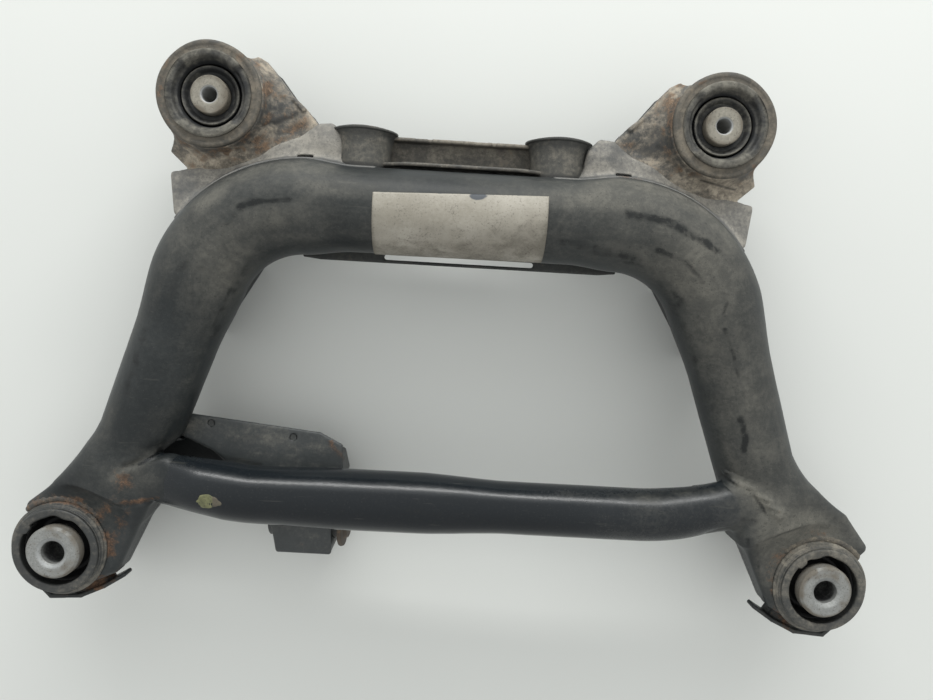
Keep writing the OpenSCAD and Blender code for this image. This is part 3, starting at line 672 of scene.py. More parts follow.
def frame_soil(v, n):
    """Tube, arms, strips and cross tube are soiled as one, so that their joints don't show as a change of dirt."""
    u, w = seen(v)
    f = facing(v, n)
    x, y = v[:, 0], v[:, 1]
    side = step(0, 1, x)
    ring = np.hypot(np.abs(x) - 375, y)
    fine = fbm(v, 12, 9)
    # the front cross tube is cleaner and glossier, up to its ends
    cross = step(34, 28, np.abs(y - 65)) * step(300, 250, np.abs(x)) * step(48, 20, np.abs(v[:, 2] + 18) - 10)
    cross = cross * step(0, 10, tube_d(x, y, v[:, 2]))
    clean = cross * (0.95 - 0.35 * step(520, 640, u) - 0.3 * step(245, 170, u))
    dust = 0.13 + 0.24 * (fbm(v, 55, 3) - 0.5) + 0.05 * side
    dust += f * (0.36 * spot(u, w, 228, 270, 36, 40, 20) + 0.24 * spot(u, w, 262, 218, 30, 16) + 0.14 * spot(u, w, 190, 230, 26, 40, 30)
                 + 0.38 * spot(u, w, 690, 262, 44, 40) + 0.34 * spot(u, w, 715, 330, 34, 60) + 0.22 * spot(u, w, 640, 205, 50, 20)
                 + 0.28 * spot(u, w, 585, 198, 60, 14) + 0.22 * spot(u, w, 330, 186, 60, 10) + 0.22 * spot(u, w, 745, 420, 30, 60)
                 + 0.04 * spot(u, w, 620, 240, 40, 24) + 0.22 * spot(u, w, 770, 470, 24, 26) + 0.16 * spot(u, w, 300, 225, 40, 24)
                 + 0.20 * spot(u, w, 108, 420, 12, 40, 25))
    dust += f * (0.42 * spot(u, w, 785, 545, 40, 40) + 0.30 * spot(u, w, 815, 525, 30, 16) + 0.06 * spot(u, w, 96, 530, 26, 26)
                 + 0.20 * spot(u, w, 145, 480, 26, 14) + 0.26 * line(u, w, [(738, 484), (762, 498), (780, 515)], 7) + 0.16 * cross * step(520, 660, u))
    dust += f * (0.02 * spot(u, w, 105, 520, 34, 40) + 0.12 * spot(u, w, 790, 530, 50, 40) - 0.34 * spot(u, w, 113, 556, 18, 22) - 0.1 * spot(u, w, 720, 340, 30, 60))
    dust -= f * (0.30 * spot(u, w, 150, 360, 30, 60, 20) + 0.1 * spot(u, w, 122, 420, 24, 30)
                 + 0.2 * spot(u, w, 60, 480, 22, 14, -40) + 0.35 * spot(u, w, 137, 530, 16, 40) + 0.3 * spot(u, w, 748, 560, 9, 40)
                 + 0.22 * spot(u, w, 832, 512, 16, 12, 40) + 0.2 * spot(u, w, 768, 468, 14, 16))
    dark = f * (0.75 * rough_line(v, u, w, [(240, 206), (258, 202), (290, 199)], 3.4, 21) + 0.40 * rough_line(v, u, w, [(256, 198), (238, 212), (222, 232)], 7, 22)
                + 0.80 * rough_line(v, u, w, [(628, 215), (662, 220), (692, 234), (718, 252)], 5.5, 23) + 0.55 * rough_line(v, u, w, [(658, 250), (688, 264), (703, 282)], 4, 24)
                + 0.62 * rough_line(v, u, w, [(725, 330), (733, 352), (738, 376)], 3.2, 25) + 0.85 * rough_line(v, u, w, [(741, 420), (746, 438), (744, 452)], 4.2, 26)
                + 0.45 * rough_line(v, u, w, [(728, 300), (722, 318)], 2.6, 27) + 0.45 * rough_line(v, u, w, [(250, 262), (232, 296), (212, 340)], 6, 28)
                + 0.42 * rough_line(v, u, w, [(146, 330), (124, 392)], 6, 29) + 0.40 * rough_line(v, u, w, [(660, 290), (690, 340), (705, 400)], 5, 30)
                + 0.40 * rough_line(v, u, w, [(560, 240), (640, 262), (680, 300)], 8, 31) + 0.4 * rough_line(v, u, w, [(186, 262), (168, 300)], 6, 32)
                + 0.6 * line(u, w, [(717, 471), (727, 478), (734, 483)], 2.2) + 0.5 * rough_line(v, u, w, [(754, 495), (761, 505), (766, 515)], 2.6, 37)
                + 0.70 * line(u, w, [(163, 450), (150, 458), (139, 465)], 2.0) + 0.3 * rough_line(v, u, w, [(740, 519), (765, 523)], 4.0, 33)
                + 0.55 * rough_line(v, u, w, [(757, 545), (759, 575)], 2.6, 34) + 0.5 * rough_line(v, u, w, [(748, 540), (752, 580)], 3.0, 35)
                + 0.40 * spot(u, w, 135, 520, 12, 24) + 0.35 * line(u, w, [(788, 506), (812, 505)], 2.2) + 0.3 * rough_line(v, u, w, [(270, 508), (440, 512)], 6, 36) * cross)
    pale = f * (0.30 * line(u, w, [(640, 206), (665, 211)], 1.4) + 0.30 * spot(u, w, 700, 246, 6, 5) + 0.3 * spot(u, w, 236, 262, 7, 6)
                + 0.26 * line(u, w, [(700, 270), (706, 300)], 1.5) + 0.22 * spot(u, w, 670, 238, 8, 3, 20) + 0.32 * spot(u, w, 122, 468, 4, 3)
                + 0.15 * line(u, w, [(754, 493), (762, 500)], 2.4) + 0.25 * side * spot(u, w, 813, 525, 9, 4, -25) + 0.3 * spot(u, w, 186, 428, 5, 4))
    near = np.exp(-((ring - 50) / 9) ** 2)
    rust = f * (0.60 * spot(u, w, 124, 479, 11, 13) * step(0.3, 0.55, fbm(v, 10, 12)) + 0.55 * line(u, w, [(122, 502), (140, 501), (158, 498)], 2.6)
                + 0.50 * near * (1 - side) * step(0.35, 0.6, fbm(v, 18, 8)) + 0.35 * near * side * step(0.45, 0.7, fbm(v, 18, 9))
                + 0.38 * (1 - side) * spot(u, w, 100, 562, 18, 18) * step(0.35, 0.6, fine) + 0.30 * (1 - side) * spot(u, w, 112, 520, 22, 14) * step(0.4, 0.6, fine)
                + 0.35 * side * spot(u, w, 814, 533, 12, 5) + 0.3 * side * spot(u, w, 775, 590, 16, 14) * step(0.4, 0.6, fine)
                + 0.25 * spot(u, w, 205, 208, 5, 3) + 0.22 * step(0.62, 0.72, fine) * spot(u, w, 700, 300, 60, 90) + 0.25 * step(0.6, 0.7, fine) * spot(u, w, 745, 480, 12, 10))
    rust += f * fine * (0.42 * side * spot(u, w, 786, 560, 40, 44) + 0.62 * (1 - side) * spot(u, w, 106, 525, 34, 46) + 0.34 * side * line(u, w, [(744, 486), (766, 500), (780, 514)], 7) + 0.22 * side * spot(u, w, 742, 440, 24, 50))
    dust += f * (0.28 * line(u, w, [(200, 205), (230, 180), (262, 168), (300, 165), (330, 168)], 9) + 0.24 * line(u, w, [(590, 178), (640, 180), (680, 192), (715, 215), (735, 240)], 9)
                 + 0.26 * line(u, w, [(113, 478), (140, 462), (165, 448), (185, 432)], 6) + 0.22 * side * line(u, w, [(744, 486), (766, 502)], 6))
    # the cross tube's rear-facing upper side gets more dust and less clean paint: partly dust, partly a painted
    # reflection that lightens its top rim
    back_dust_and_sheen = cross * step(0.56, 0.84, n[:, 1])
    dust += 0.10 * back_dust_and_sheen
    clean = clean * (1 - 0.30 * back_dust_and_sheen)
    strip = (y < -28) & (ring > 46)
    rust += np.where(strip, 0.6 * np.exp(-((np.abs(x) - 352) / 13) ** 2) * step(0.35, 0.6, fbm(v, 9, 3)), 0)
    return {"dust": dust, "dark": 1.3 * dark, "pale": pale, "rust": rust, "clean": clean}


def ring_soil(v, n):
    x = np.abs(v[:, 0]) - 375
    ring, ang = np.hypot(x, v[:, 1]), np.arctan2(v[:, 1], -x)
    side = step(0, 1, v[:, 0])
    arm = np.exp(-((ang - 1.2) / 1.0) ** 2)
    dust = 0.20 + 0.22 * side * (0.4 + arm) + 0.25 * (fbm(v, 20, 3) - 0.5) + 0.25 * step(42, 45, ring)
    rust = arm * step(43.5, 46.5, ring) * (0.75 - 0.25 * side) * step(0.3, 0.55, fbm(v, 12, 5)) + 0.2 * (fbm(v, 9, 7) > 0.66)
    return {"dust": dust, "rust": rust, "pale": 0.28 * np.exp(-((ring - 41.0) / 0.9) ** 2) * (fbm(v, 15, 8) > 0.45)}


def face_soil(v, n):
    """Sleeve faces: dirt on the rim, a bright turned chamfer, a stain to one side, painted shade down the front bores
    and painted light on the rear bore walls.
    """
    side = np.sign(v[:, 0])
    front = v[:, 1] < 200
    cx = np.where(front, 375.0, 235.5) * side
    cy = np.where(front, 0.0, 437.0)
    x, y = v[:, 0] - cx, v[:, 1] - cy
    r = np.hypot(x, y)
    rim = np.where(front, 25.7, 17.3)
    bore = np.where(front, 11.25, 7.0)
    top = step(-6, -2, v[:, 2])
    lump = fbm(v, 9, 3)
    dust = np.where(front & (side > 0), 0.36, 0.26) + 0.75 * step(rim - 5.0, rim - 0.5, r) * lump + 0.35 * np.exp(-((r - 0.72 * rim) / 5) ** 2) * step(0.45, 0.7, fbm(v, 14, 4))
    # in the bores: the front bore walls are darkened as painted shade; the rear bore walls are kept clean and lightened
    # by the pale mask, bare metal brightened as painted light
    dust = np.where(top > 0.5, dust, np.where(r < bore + 0.4, np.where(front, 0.2, 0.0), 0.75))
    chamfer = np.exp(-((r - bore - np.where(front, 2.2, 1.2)) / np.where(front, 2.2, 1.2)) ** 2) * top
    dark = np.where(r < bore + 0.25, np.where(front, 0.62, 0.1) * step(-1, -7, v[:, 2]), 0.0) + np.where(top > 0.5, 0.55 * step(0.62, 0.76, fbm(v, 7, 6)) * step(rim - 8, rim - 3, r), 0)
    return {"dust": dust - 0.3 * chamfer, "pale": np.where(front, np.where(side > 0, 0.38, 0.6), 0.42) * chamfer + np.where(r < bore + 0.4, np.where(front, 0.0, 0.6), 0.0), "dark": dark, "turned": r}


def rear_soil(v, n):
    side = np.sign(v[:, 0])
    r = np.hypot(v[:, 0] - 235.5 * side, v[:, 1] - 437)
    u, w = seen(v)
    edge = step(46.4, 47.9, r)
    left = v[:, 0] < 0
    dust = 0.34 + 0.35 * (fbm(v, 16, 3) - 0.5) - 0.06 * edge + 0.14 * step(44, 41, r)
    rust = 0.42 * step(40, 44, r) * step(0.50, 0.66, fbm(v, 13, 6)) * (0.4 + 0.6 * left) + 0.55 * (spot(u, w, 162, 87, 6) + spot(u, w, 242, 56, 10, 6) + spot(u, w, 702, 82, 9, 4, -20) + spot(u, w, 754, 166, 4, 5) + spot(u, w, 168, 122, 6, 8))
    dark = 0.08 * edge + 0.5 * (spot(u, w, 212, 41, 14, 2.5) + spot(u, w, 732, 74, 8, 2.5)) + 0.35 * step(0.58, 0.7, fbm(v, 14, 8))
    return {"dust": dust, "rust": rust, "dark": dark, "pale": 0.0}


def rear_rubber_soil(v, n):
    side = np.sign(v[:, 0])
    x, y = (v[:, 0] - 235.5 * side) * side, v[:, 1] - 437
    r, a = np.hypot(x, y), np.arctan2(y, x)
    top = np.maximum(step(0.75, 0.95, np.abs(a)) * step(2.45, 2.25, np.abs(a)), 0)
    band = step(28.8, 30.4, r)
    dust = 0.16 + band * (0.16 + 0.34 * top) + 0.30 * step(36.4, 38.0, r) + 0.30 * np.exp(-((r - 26.0) / 0.8) ** 2) + 0.4 * (fbm(v, 10, 4) - 0.5) + 0.15 * step(20, 24, r) * step(27, 26, r)
    # below z -9 the groove walls are made clean and dark: painted shade in the groove
    dust = np.where(v[:, 2] < -9, -0.4, dust)
    dark = np.where(v[:, 2] < -9.5, 0.9, 0.28 * band * (1 - top) * step(37.8, 36.2, r) + 0.35 * band * step(0.56, 0.7, fbm(v, 9, 6)))
    return {"dust": dust, "rust": 0.10 * band * (fbm(v, 9, 5) > 0.6), "dark": dark, "pale": 0.35 * np.exp(-((r - 26.3) / 0.5) ** 2) * step(-8, -5, v[:, 2]) * step(0.45, 0.6, fbm(v, 12, 9))}


def console_soil(v, n):
    u, w = seen(v)
    f = facing(v, n)
    lump, fine = fbm(v, 34, 4), fbm(v, 11, 8)
    left = v[:, 0] < 0
    ring = np.hypot(np.abs(v[:, 0]) - 235.5, v[:, 1] - 437)
    # dust raised under the flange on the tube side is painted light, lightening where the flange shades the console; it
    # is lowered at two spots on the far side
    dust = 0.42 + 0.35 * (lump - 0.5) + f * (0.45 * spot(u, w, 215, 164, 40, 14, -12) + 0.6 * spot(u, w, 718, 184, 40, 14, 18) - 0.32 * spot(u, w, 284, 98, 20, 26) - 0.18 * spot(u, w, 645, 135, 22, 18))
    rust = 0.22 + 0.46 * np.exp(-((ring - 50) / 7) ** 2) * step(0.35, 0.65, fine)
    rust += 0.30 * step(0.5, 0.7, fbm(v, 20, 12)) * step(0.4, 0.6, fine)
    rust += f * np.where(left, 0.5 * line(u, w, [(185, 168), (215, 160), (262, 150), (300, 126)], 7) * step(0.35, 0.6, fine), 0.45 * spot(u, w, 628, 146, 10, 7) + 0.3 * spot(u, w, 745, 185, 14, 6))
    dark = f * np.where(left, 0.75 * line(u, w, [(258, 128), (275, 122), (296, 114)], 4.5) * step(0.35, 0.55, fine) + 0.5 * line(u, w, [(272, 86), (286, 100)], 5) * step(0.4, 0.6, fine) + 0.45 * spot(u, w, 262, 146, 12, 5, -20) * step(0.4, 0.6, fine),
                        0.6 * spot(u, w, 660, 147, 9, 4) * step(0.35, 0.6, fine) + 0.35 * line(u, w, [(650, 140), (665, 105)], 8) + 0.6 * line(u, w, [(700, 180), (735, 190)], 1.6))
    pale = f * np.where(left, 0.25 * step(0.6, 0.75, fine) * spot(u, w, 275, 105, 22, 26), 0.25 * step(0.6, 0.75, fine) * spot(u, w, 655, 118, 14, 24))
    # near: painted light, lighter and less rusty where the flange shades the console
    near = f * np.where(left, 0.6 * spot(u, w, 212, 163, 36, 12, -12), spot(u, w, 718, 182, 38, 12, 15))
    rust -= 0.32 * near
    pale += 0.34 * near
    return {"dust": dust, "rust": rust, "dark": dark, "pale": pale}


def gusset_soil(v, n):
    u, w = seen(v)
    f = facing(v, n)
    left = v[:, 0] < 0
    fine = fbm(v, 12, 8)
    dust = 0.40 + 0.25 * (fbm(v, 45, 4) - 0.5)
    # less dust darkens the left gusset's rounded end as painted shade; two more spots on the right have less dust
    dust -= f * (0.42 * spot(u, w, 180, 190, 22, 24) + 0.16 * spot(u, w, 742, 226, 16, 22) + 0.10 * spot(u, w, 625, 160, 26, 14))
    near = tube_d(v[:, 0], v[:, 1], v[:, 2])
    seam = step(5, 1.2, near)
    dust += -0.40 * seam + 0.12 * np.exp(-((near - 7) / 4) ** 2)
    rust = f * np.where(left, 0.45 * line(u, w, [(210, 190), (234, 178), (262, 168)], 3) * step(0.4, 0.6, fine), 0.5 * line(u, w, [(620, 176), (642, 180)], 2.2) + 0.3 * spot(u, w, 735, 200, 20, 10) * step(0.55, 0.7, fine))
    # a painted highlight on the left gusset's top fold by the sleeve
    pale = f * (0.25 * spot(u, w, 322, 143, 16, 10) * (1 - 0 * u) + np.where(left, 0, 0.35 * line(u, w, [(722, 202), (727, 208)], 2.0)))
    return {"dust": dust, "rust": rust, "pale": pale, "dark": 0.38 * seam}


def plain_soil(level, rust=0.0, seed=0):
    def paint(v, n):
        return {"dust": level + 0.3 * (fbm(v, 30, seed) - 0.5), "rust": rust * step(0.45, 0.7, fbm(v, 14, seed + 3)), "dark": 0.25 * step(0.6, 0.75, fbm(v, 18, seed + 6)), "pale": 0.0}
    return paint


# ---------------------------------------------------------------- main tube
def tube_line(count):
    """Half of the tube's middle line, from the middle out, with its outward side."""
    l2 = BEND_R * TURN
    s = np.linspace(0, X_TAN + l2 + 203.0, count)
    phi = np.clip((s - X_TAN) / BEND_R, 0, TURN)
    px = np.where(s < X_TAN, s, X_TAN + BEND_R * np.sin(phi))
    py = np.where(s < X_TAN, 0, -BEND_R + BEND_R * np.cos(phi))
    t = np.maximum(0, s - X_TAN - l2)
    px, py = px + t * SN, py - t * CN
    r = np.where(s < X_TAN, tube_r(s), np.where(t > 0, leg_r(t), 44.5))
    return px, py, np.sin(phi), np.cos(phi), r


def pressed(t, inner):
    """How far the left leg's inner side is pressed in near its end."""
    return 14 * step(152, 190, t) * step(0.25, 0.95, inner)


def build_main_tube():
    px, py, nx, ny, r = tube_line(200)
    along = np.maximum(0, np.linspace(0, X_TAN + BEND_R * TURN + 203.0, 200) - X_TAN - BEND_R * TURN)
    n = 132
    th = np.arange(n) * 2 * math.pi / n
    left = r[:0:-1, None] - pressed(along[:0:-1, None], -np.cos(th)[None])
    r = np.concatenate([left, np.tile(r[:, None], (1, n))])
    px = np.concatenate([-px[:0:-1], px])
    py = np.concatenate([py[:0:-1], py])
    nx = np.concatenate([-nx[:0:-1], nx])
    ny = np.concatenate([ny[:0:-1], ny])
    c = np.stack([px, 343 + py * CT, -16 + py * ST], 1)
    side = np.stack([nx, ny * CT, ny * ST], 1)
    up = np.tile(np.array([0, -ST, CT]), (len(px), 1))
    skin = (c[:, None] + r[:, :, None] * (np.cos(th)[None, :, None] * side[:, None] + np.sin(th)[None, :, None] * up[:, None])).reshape(-1, 3)
    wave = (0.8 * (fbm(skin, 60, 2) - 0.5) + 0.25 * (fbm(skin, 12, 5) - 0.5)).reshape(len(px), n)
    v, f = sweep(c, side, up, r, n, wave - 0.1)
    s = np.linspace(-1, 1, len(px)) * (X_TAN + BEND_R * TURN + 203.0)
    sp, tp = np.meshgrid(s, 40 * th, indexing="ij")
    grid = np.stack([0.11 * sp.ravel(), tp.ravel(), 0 * tp.ravel()], 1)
    grid = np.concatenate([grid, np.zeros((2, 3))])

    def streaked(v, n):
        out = frame_soil(v, n)
        fc = facing(v, n)
        out["dust"] = out["dust"] + 0.24 * (fbm(grid, 7.0, 5) - 0.5)
        out["dark"] = out["dark"] + 0.24 * fc * step(0.60, 0.74, fbm(grid + 31.0, 5.0, 15)) * step(0.35, 0.6, fbm(v, 60, 17))
        return out

    piece("main_tube_skin", v, f, M_TUBE, ("main_tube",), streaked)


build_main_tube()


# ---------------------------------------------------------------- front arms
ARM = {-1: [(350, -38), (408, 28), (413, 40), (344, 96), (287, 52), (322, -25)],
       1: [(350, -38), (411, 24), (424, 39.5), (397, 73), (364, 93), (344, 100), (290, 52), (329, -26)]}


# the cross tube's ends, seen on the right side: where each leaves its curve, its turn, its radii and length
ENDS = {1: ((186 + 220 * math.sin(math.radians(11)), 283 - 220 * math.cos(math.radians(11))), math.radians(11), 25.5, 24.0, 108.0),
        -1: ((182 + 220 * math.sin(math.radians(8)), 283 - 220 * math.cos(math.radians(8))), math.radians(8), 28.0, 22.0, 98.0)}


def flat_top(d):
    return 1 - 0.44 * step(22, 88, d)


def end_d(side, x, y, z):
    (ex, ey), a, r0, r1, far = ENDS[side]
    d = (x - ex) * math.cos(a) + (y - ey) * math.sin(a)
    n = -(x - ex) * math.sin(a) + (y - ey) * math.cos(a)
    r = r0 + (r1 - r0) * np.clip(d / far, 0, 1)
    h = z + 18.0
    h = np.where(h > 0, h / flat_top(d), h)
    return np.hypot(n, h) - r, d


def end_stop(side, x, y, d):
    """The right end is cut off across the leg, the left one is rounded."""
    return (x - 309) * 0.54 + (y - 83) * 0.84 if side > 0 else d - 108


def arm_body(side, x, y, z):
    t, q, pz = leg_at(x, y, z)
    rad = np.hypot(q, pz)
    lr = leg_r(t) + 0.3 - 2.4 * step(176, 148, t)
    if side < 0:
        lr = lr - pressed(t, -q / np.maximum(rad, 1e-6))
    leg = np.maximum(rad - lr, np.maximum(146 - t, t - 220))
    far = np.hypot(x - 375, y)
    rise = 9 * step(48, 108, far)
    body = slab(rpoly(x, y, ARM[side], 7), z, -57, -16 + rise, 9)
    return smin(leg, body, 34)


def plan_line(x, y, pts):
    best = 1e9
    for (ax, ay), (bx, by) in zip(pts[:-1], pts[1:]):
        ex, ey = bx - ax, by - ay
        t = np.clip(((x - ax) * ex + (y - ay) * ey) / (ex * ex + ey * ey), 0, 1)
        best = np.minimum(best, np.hypot(x - ax - ex * t, y - ay - ey * t))
    return best


def weld_rise(side, x, y):
    """Flat welds at the cross tube's ends: a wide lumpy band with a groove on the right, a crease on the left."""
    if side > 0:
        band = plan_line(x, y, [(273, 108), (287, 100), (308, 88), (320, 76)])
        lump = 1 + 0.45 * np.sin(0.55 * x + 0.31 * y) * np.sin(0.37 * x - 0.62 * y + 1.0)
        groove = plan_line(x, y, [(292, 95), (300, 86), (306, 76)])
        gap = plan_line(x, y, [(262, 112), (273, 104), (280, 99)])
        return 2.6 * lump * np.exp(-(band / 5.6) ** 2) - 1.1 * np.exp(-(groove / 2.4) ** 2) - 0.9 * np.exp(-(gap / 2.6) ** 2)
    crease = plan_line(x, y, [(262, 110), (276, 101), (292, 92), (306, 88)])
    seam = plan_line(x, y, [(282, 53), (300, 49.5), (318, 47.5)])
    return -1.9 * np.exp(-(crease / 2.4) ** 2) + 0.9 * np.exp(-((crease - 6) / 3.0) ** 2) - 1.2 * np.exp(-(seam / 2.0) ** 2)


def arm_d(side, x, y, z):
    e, d = end_d(side, x, y, z)
    e = smax(e + 1.9 * step(64, 34, d) - 0.4, end_stop(side, x, y, d), 9 if side < 0 else 3)
    e = np.maximum(e, 20 - d)
    return smin(arm_body(side, x, y, z), e, 7) - weld_rise(side, x, y) * step(-30, -18, z)


def arm_cut(side, x, y, z):
    ring = np.hypot(x - 375, y)
    d = np.maximum(arm_d(side, x, y, z), 43.4 - ring)
    return np.maximum(d, np.where(z > -16.2, 46.5 - ring, -9))


def on_top(side, path, lift=0.0):
    """Points of a plan line, set on the arm's upper skin."""
    zs = np.linspace(14, -60, 297)
    out = []
    for x, y in path:
        d = arm_d(side, np.full(297, float(x)), np.full(297, float(y)), zs)
        k = int(np.argmax(d < 0)) if (d < 0).any() else 200
        out.append((side * x, y, zs[k] + lift))
    return out


def build_arms():
    lo, hi = (244, -46, -86), (420, 168, 12)
    for side, word in ((1, "right"), (-1, "left")):
        up = nets(lambda x, y, z: np.maximum(arm_cut(side, x, y, z), -37 - z), lo, hi, 1.9)
        low = nets(lambda x, y, z: np.maximum(arm_cut(side, x, y, z) + 0.6, z + 36.6), lo, hi, 2.8)
        for kind, (v, f) in (("upper", up), ("lower", low)):
            w, g = (v, f) if side > 0 else mirrored(v, f)
            w = w + 0.0
            w[:, 2] += 0.6 * (fbm(w, 40, 11) - 0.5) + 0.25 * (fbm(w, 9, 12) - 0.5)
            piece(f"front_arm_{kind}_{word}", w, g, M_TUBE, (f"front_arm_{kind}_shell_{word}",), frame_soil)


build_arms()


# ---------------------------------------------------------------- front bushes
def at(v, x, y, z=0.0):
    return v + np.array([x, y, z])


def build_front_bushes():
    for s, word in ((1, "right"), (-1, "left")):
        x = 375.0 * s

        def uneven(r, z, t):
            return r + 0.5 * np.sin(3 * t + s) * (r > 43), z + 0.35 * np.sin(2 * t + 1 + s)

        v, f = lathe([(39.6, -62), (44, -62), (44, -18), (46.5, -16.6), (46.5, -14.4), (44.8, -13.2), (44.4, -11.4), (42.4, -10.6), (42.0, -9.0), (39.6, -8.8)], shape=uneven, r=0.9)
        piece(f"front_bush_housing_{word}", at(v, x, 0), f, M_RING, (f"front_bush_housing_{word}",), ring_soil)

        def lobes(r, z, t):
            a = t if s > 0 else math.pi - t
            wave = 1.3 * np.sin(9 * a + 0.6) * np.exp(-((np.angle(np.exp(1j * (a - 1.75)))) / 0.45) ** 2)
            notch = -2.6 * step(0.16, 0.10, np.abs(np.angle(np.exp(1j * (a - (2.3 if s > 0 else 0.62))))))
            inner = step(36.6, 34.4, r) * step(-14, -9, z)
            return r + (wave + notch) * inner, z

        v, f = lathe([(36, -60), (39.5, -60), (39.5, -8.4), (41.4, -8.2), (41.6, -6.2), (40.4, -5.0), (35.2, -5.2), (33.8, -6.4), (33.8, -9.6), (36, -10.5)], shape=lobes, r=1.0)
        piece(f"front_bush_outer_{word}", at(v, x, 0), f, M_RING, (f"front_bush_outer_sleeve_{word}",), ring_soil)

        def ribs(r, z, t):
            a = t if s > 0 else math.pi - t
            return r, z + np.where((z > -30), 2.2 * np.cos(2 * a + 0.8), 0)

        v, f = lathe([(20, -56), (36, -56), (36, -18), (33, -20), (29, -27), (25, -27), (20.4, -21)], shape=ribs, r=1.6)
        # the rubber's visible top, deep in the recess under the sleeve lip, is darkened as painted shade
        piece(f"front_bush_rubber_{word}", at(v, x, 0), f, M_RUBBER, (f"front_bush_rubber_{word}",), lambda v, n: {"dust": np.where(v[:, 2] > -30, -0.25, 0.0), "dark": np.where(v[:, 2] > -30, 0.8, 0.1)})
        v, f = lathe([(11.25, -70), (25.7, -70), (25.7, -60), (20, -57), (20, -15), (25.7, -12), (25.7, -2.4), (23.6, 0), (15.2, 0), (11.25, -2.6)], r=0.5)
        piece(f"front_bush_core_{word}", at(v, x, 0), f, M_ALLOY_F, (f"front_bush_core_{word}",), face_soil)
        # ring weld where the housing sits in the arm
        a = np.radians(np.linspace(38, 150, 110))
        ring = on_top(s, np.stack([375 - 48.6 * np.cos(a), 48.6 * np.sin(a)], 1), -1.5)
        ring = [(x, y, min(z, -15.2)) for x, y, z in ring]
        w, g = bead(ring, 3.5, 21 if s > 0 else 27, wave=6.0, flat=0.75, lumpy=0.45 if s > 0 else 0.8)
        piece(f"front_bush_weld_{word}", w, g, M_WELD, (), lambda v, n: {"dust": 0.34 * (v[:, 0] > 0) + 0.12 + 0.3 * (fbm(v, 9, 5) - 0.5), "rust": np.where(v[:, 0] > 0, 0.03, 0.34) + 0.3 * (fbm(v, 12, 6) - 0.5)})


build_front_bushes()


# ---------------------------------------------------------------- hook strips
STRIP = [(320, -32), (340, -45), (363, -56), (393, -58), (401, -50)]


def build_strips():
    def f(x, y, z):
        d = None
        for (ax, ay), (bx, by) in zip(STRIP[:-1], STRIP[1:]):
            ex, ey = bx - ax, by - ay
            t = np.clip(((x - ax) * ex + (y - ay) * ey) / (ex * ex + ey * ey), 0, 1)
            q = np.hypot(x - ax - ex * t, y - ay - ey * t) - 2.0
            d = q if d is None else smin(d, q, 0.8)
        root = rpoly(x, y, [(338, -44), (345, -33), (360, -37), (370, -56), (363, -56)], 1.0)
        low = -55 + 9 * step(352, 318, x)
        d = slab(d, z, low, -31, 1.1)
        return smin(d, slab(root, z, -55, -36, 2.5), 2.5)

    v, g = nets(f, (314, -64, -58), (407, -28, -28), 1.25)
    for s, word in ((1, "right"), (-1, "left")):
        w, q = (v, g) if s > 0 else mirrored(v, g)
        w = w + 0.0
        w[:, 1] += 0.3 + 0.6 * (fbm(w, 25, 4) - 0.5)
        piece(f"front_hook_strip_{word}", w, q, M_TUBE, (f"front_hook_strip_{word}",), frame_soil)


build_strips()


# ---------------------------------------------------------------- cross tube
def cross_line():
    pts, rad = [], []

    def r_of(x):
        a = 28 + 1.5 * step(-182, -100, x)
        return a + (25.5 - a) * step(-30, 62, x)

    for x in np.linspace(-182, 186, 176):
        pts.append((x, 63.0, 0.0))
        rad.append(r_of(x))
    a = np.radians(np.linspace(0, 11, 21))[1:]
    for q in a:
        pts.append((186 + 220 * math.sin(q), 63 + 220 - 220 * math.cos(q), q))
        rad.append(25.5)
    e = pts[-1]
    for d in np.linspace(2, 108, 54):
        pts.append((e[0] + d * math.cos(e[2]), e[1] + d * math.sin(e[2]), e[2]))
        rad.append(25.5 - 1.5 * d / 108)
    head, hr = [], []
    for q in np.radians(np.linspace(0, 8, 15))[1:]:
        head.append((-182 - 220 * math.sin(q), 63 + 220 - 220 * math.cos(q), -q))
        hr.append(28.0)
    e = head[-1]
    for d in np.linspace(2, 98, 49):
        head.append((e[0] - d * math.cos(e[2]), e[1] - d * math.sin(e[2]), e[2]))
        hr.append(28 - 6 * d / 98)
    return np.array(head[::-1] + pts), np.array(hr[::-1] + rad)


def build_cross_tube():
    p, r = cross_line()
    c = np.stack([p[:, 0], p[:, 1], np.full(len(p), -18.0)], 1)
    side = np.stack([-np.sin(p[:, 2]), np.cos(p[:, 2]), np.zeros(len(p))], 1)
    up = np.tile(np.array([0.0, 0.0, 1.0]), (len(p), 1))
    n = 100
    th = np.arange(n) * 2 * math.pi / n
    rr = np.tile(r[:, None], (1, n))
    x = p[:, 0][:, None]

    def dent(x0, wx, deg, wa, depth):
        a = np.angle(np.exp(1j * (th - math.radians(deg))))[None]
        return -depth * np.exp(-((x - x0) / wx) ** 2 - (a / wa) ** 2)

    rr = rr + dent(246, 20, -35, 0.5, 4.0) + dent(262, 15, 150, 0.4, 3.0) + dent(-12, 60, 90, 0.8, 0.8) + dent(150, 40, 110, 0.6, 0.7)
    skin = (c[:, None] + rr[:, :, None] * (np.cos(th)[None, :, None] * side[:, None] + np.sin(th)[None, :, None] * up[:, None])).reshape(-1, 3)
    rr = rr + (0.8 * (fbm(skin, 60, 4) - 0.5) + 0.12 * (fbm(skin, 14, 6) - 0.5)).reshape(rr.shape)
    v, f = sweep(c, side, up, rr, n)
    for s in (1, -1):
        m = s * v[:, 0] > 205
        (ex, ey), a, _, _, _ = ENDS[s]
        d = (s * v[m, 0] - ex) * math.cos(a) + (v[m, 1] - ey) * math.sin(a)
        h = v[m, 2] + 18
        h = np.where(h > 0, h * flat_top(d), h)
        v[m, 2] = h - 18 - 34 * step(-9, 5, end_stop(s, s * v[m, 0], v[m, 1], d))
    piece("front_cross_tube_skin", v, f, M_CROSS, ("front_cross_tube",), frame_soil)


build_cross_tube()


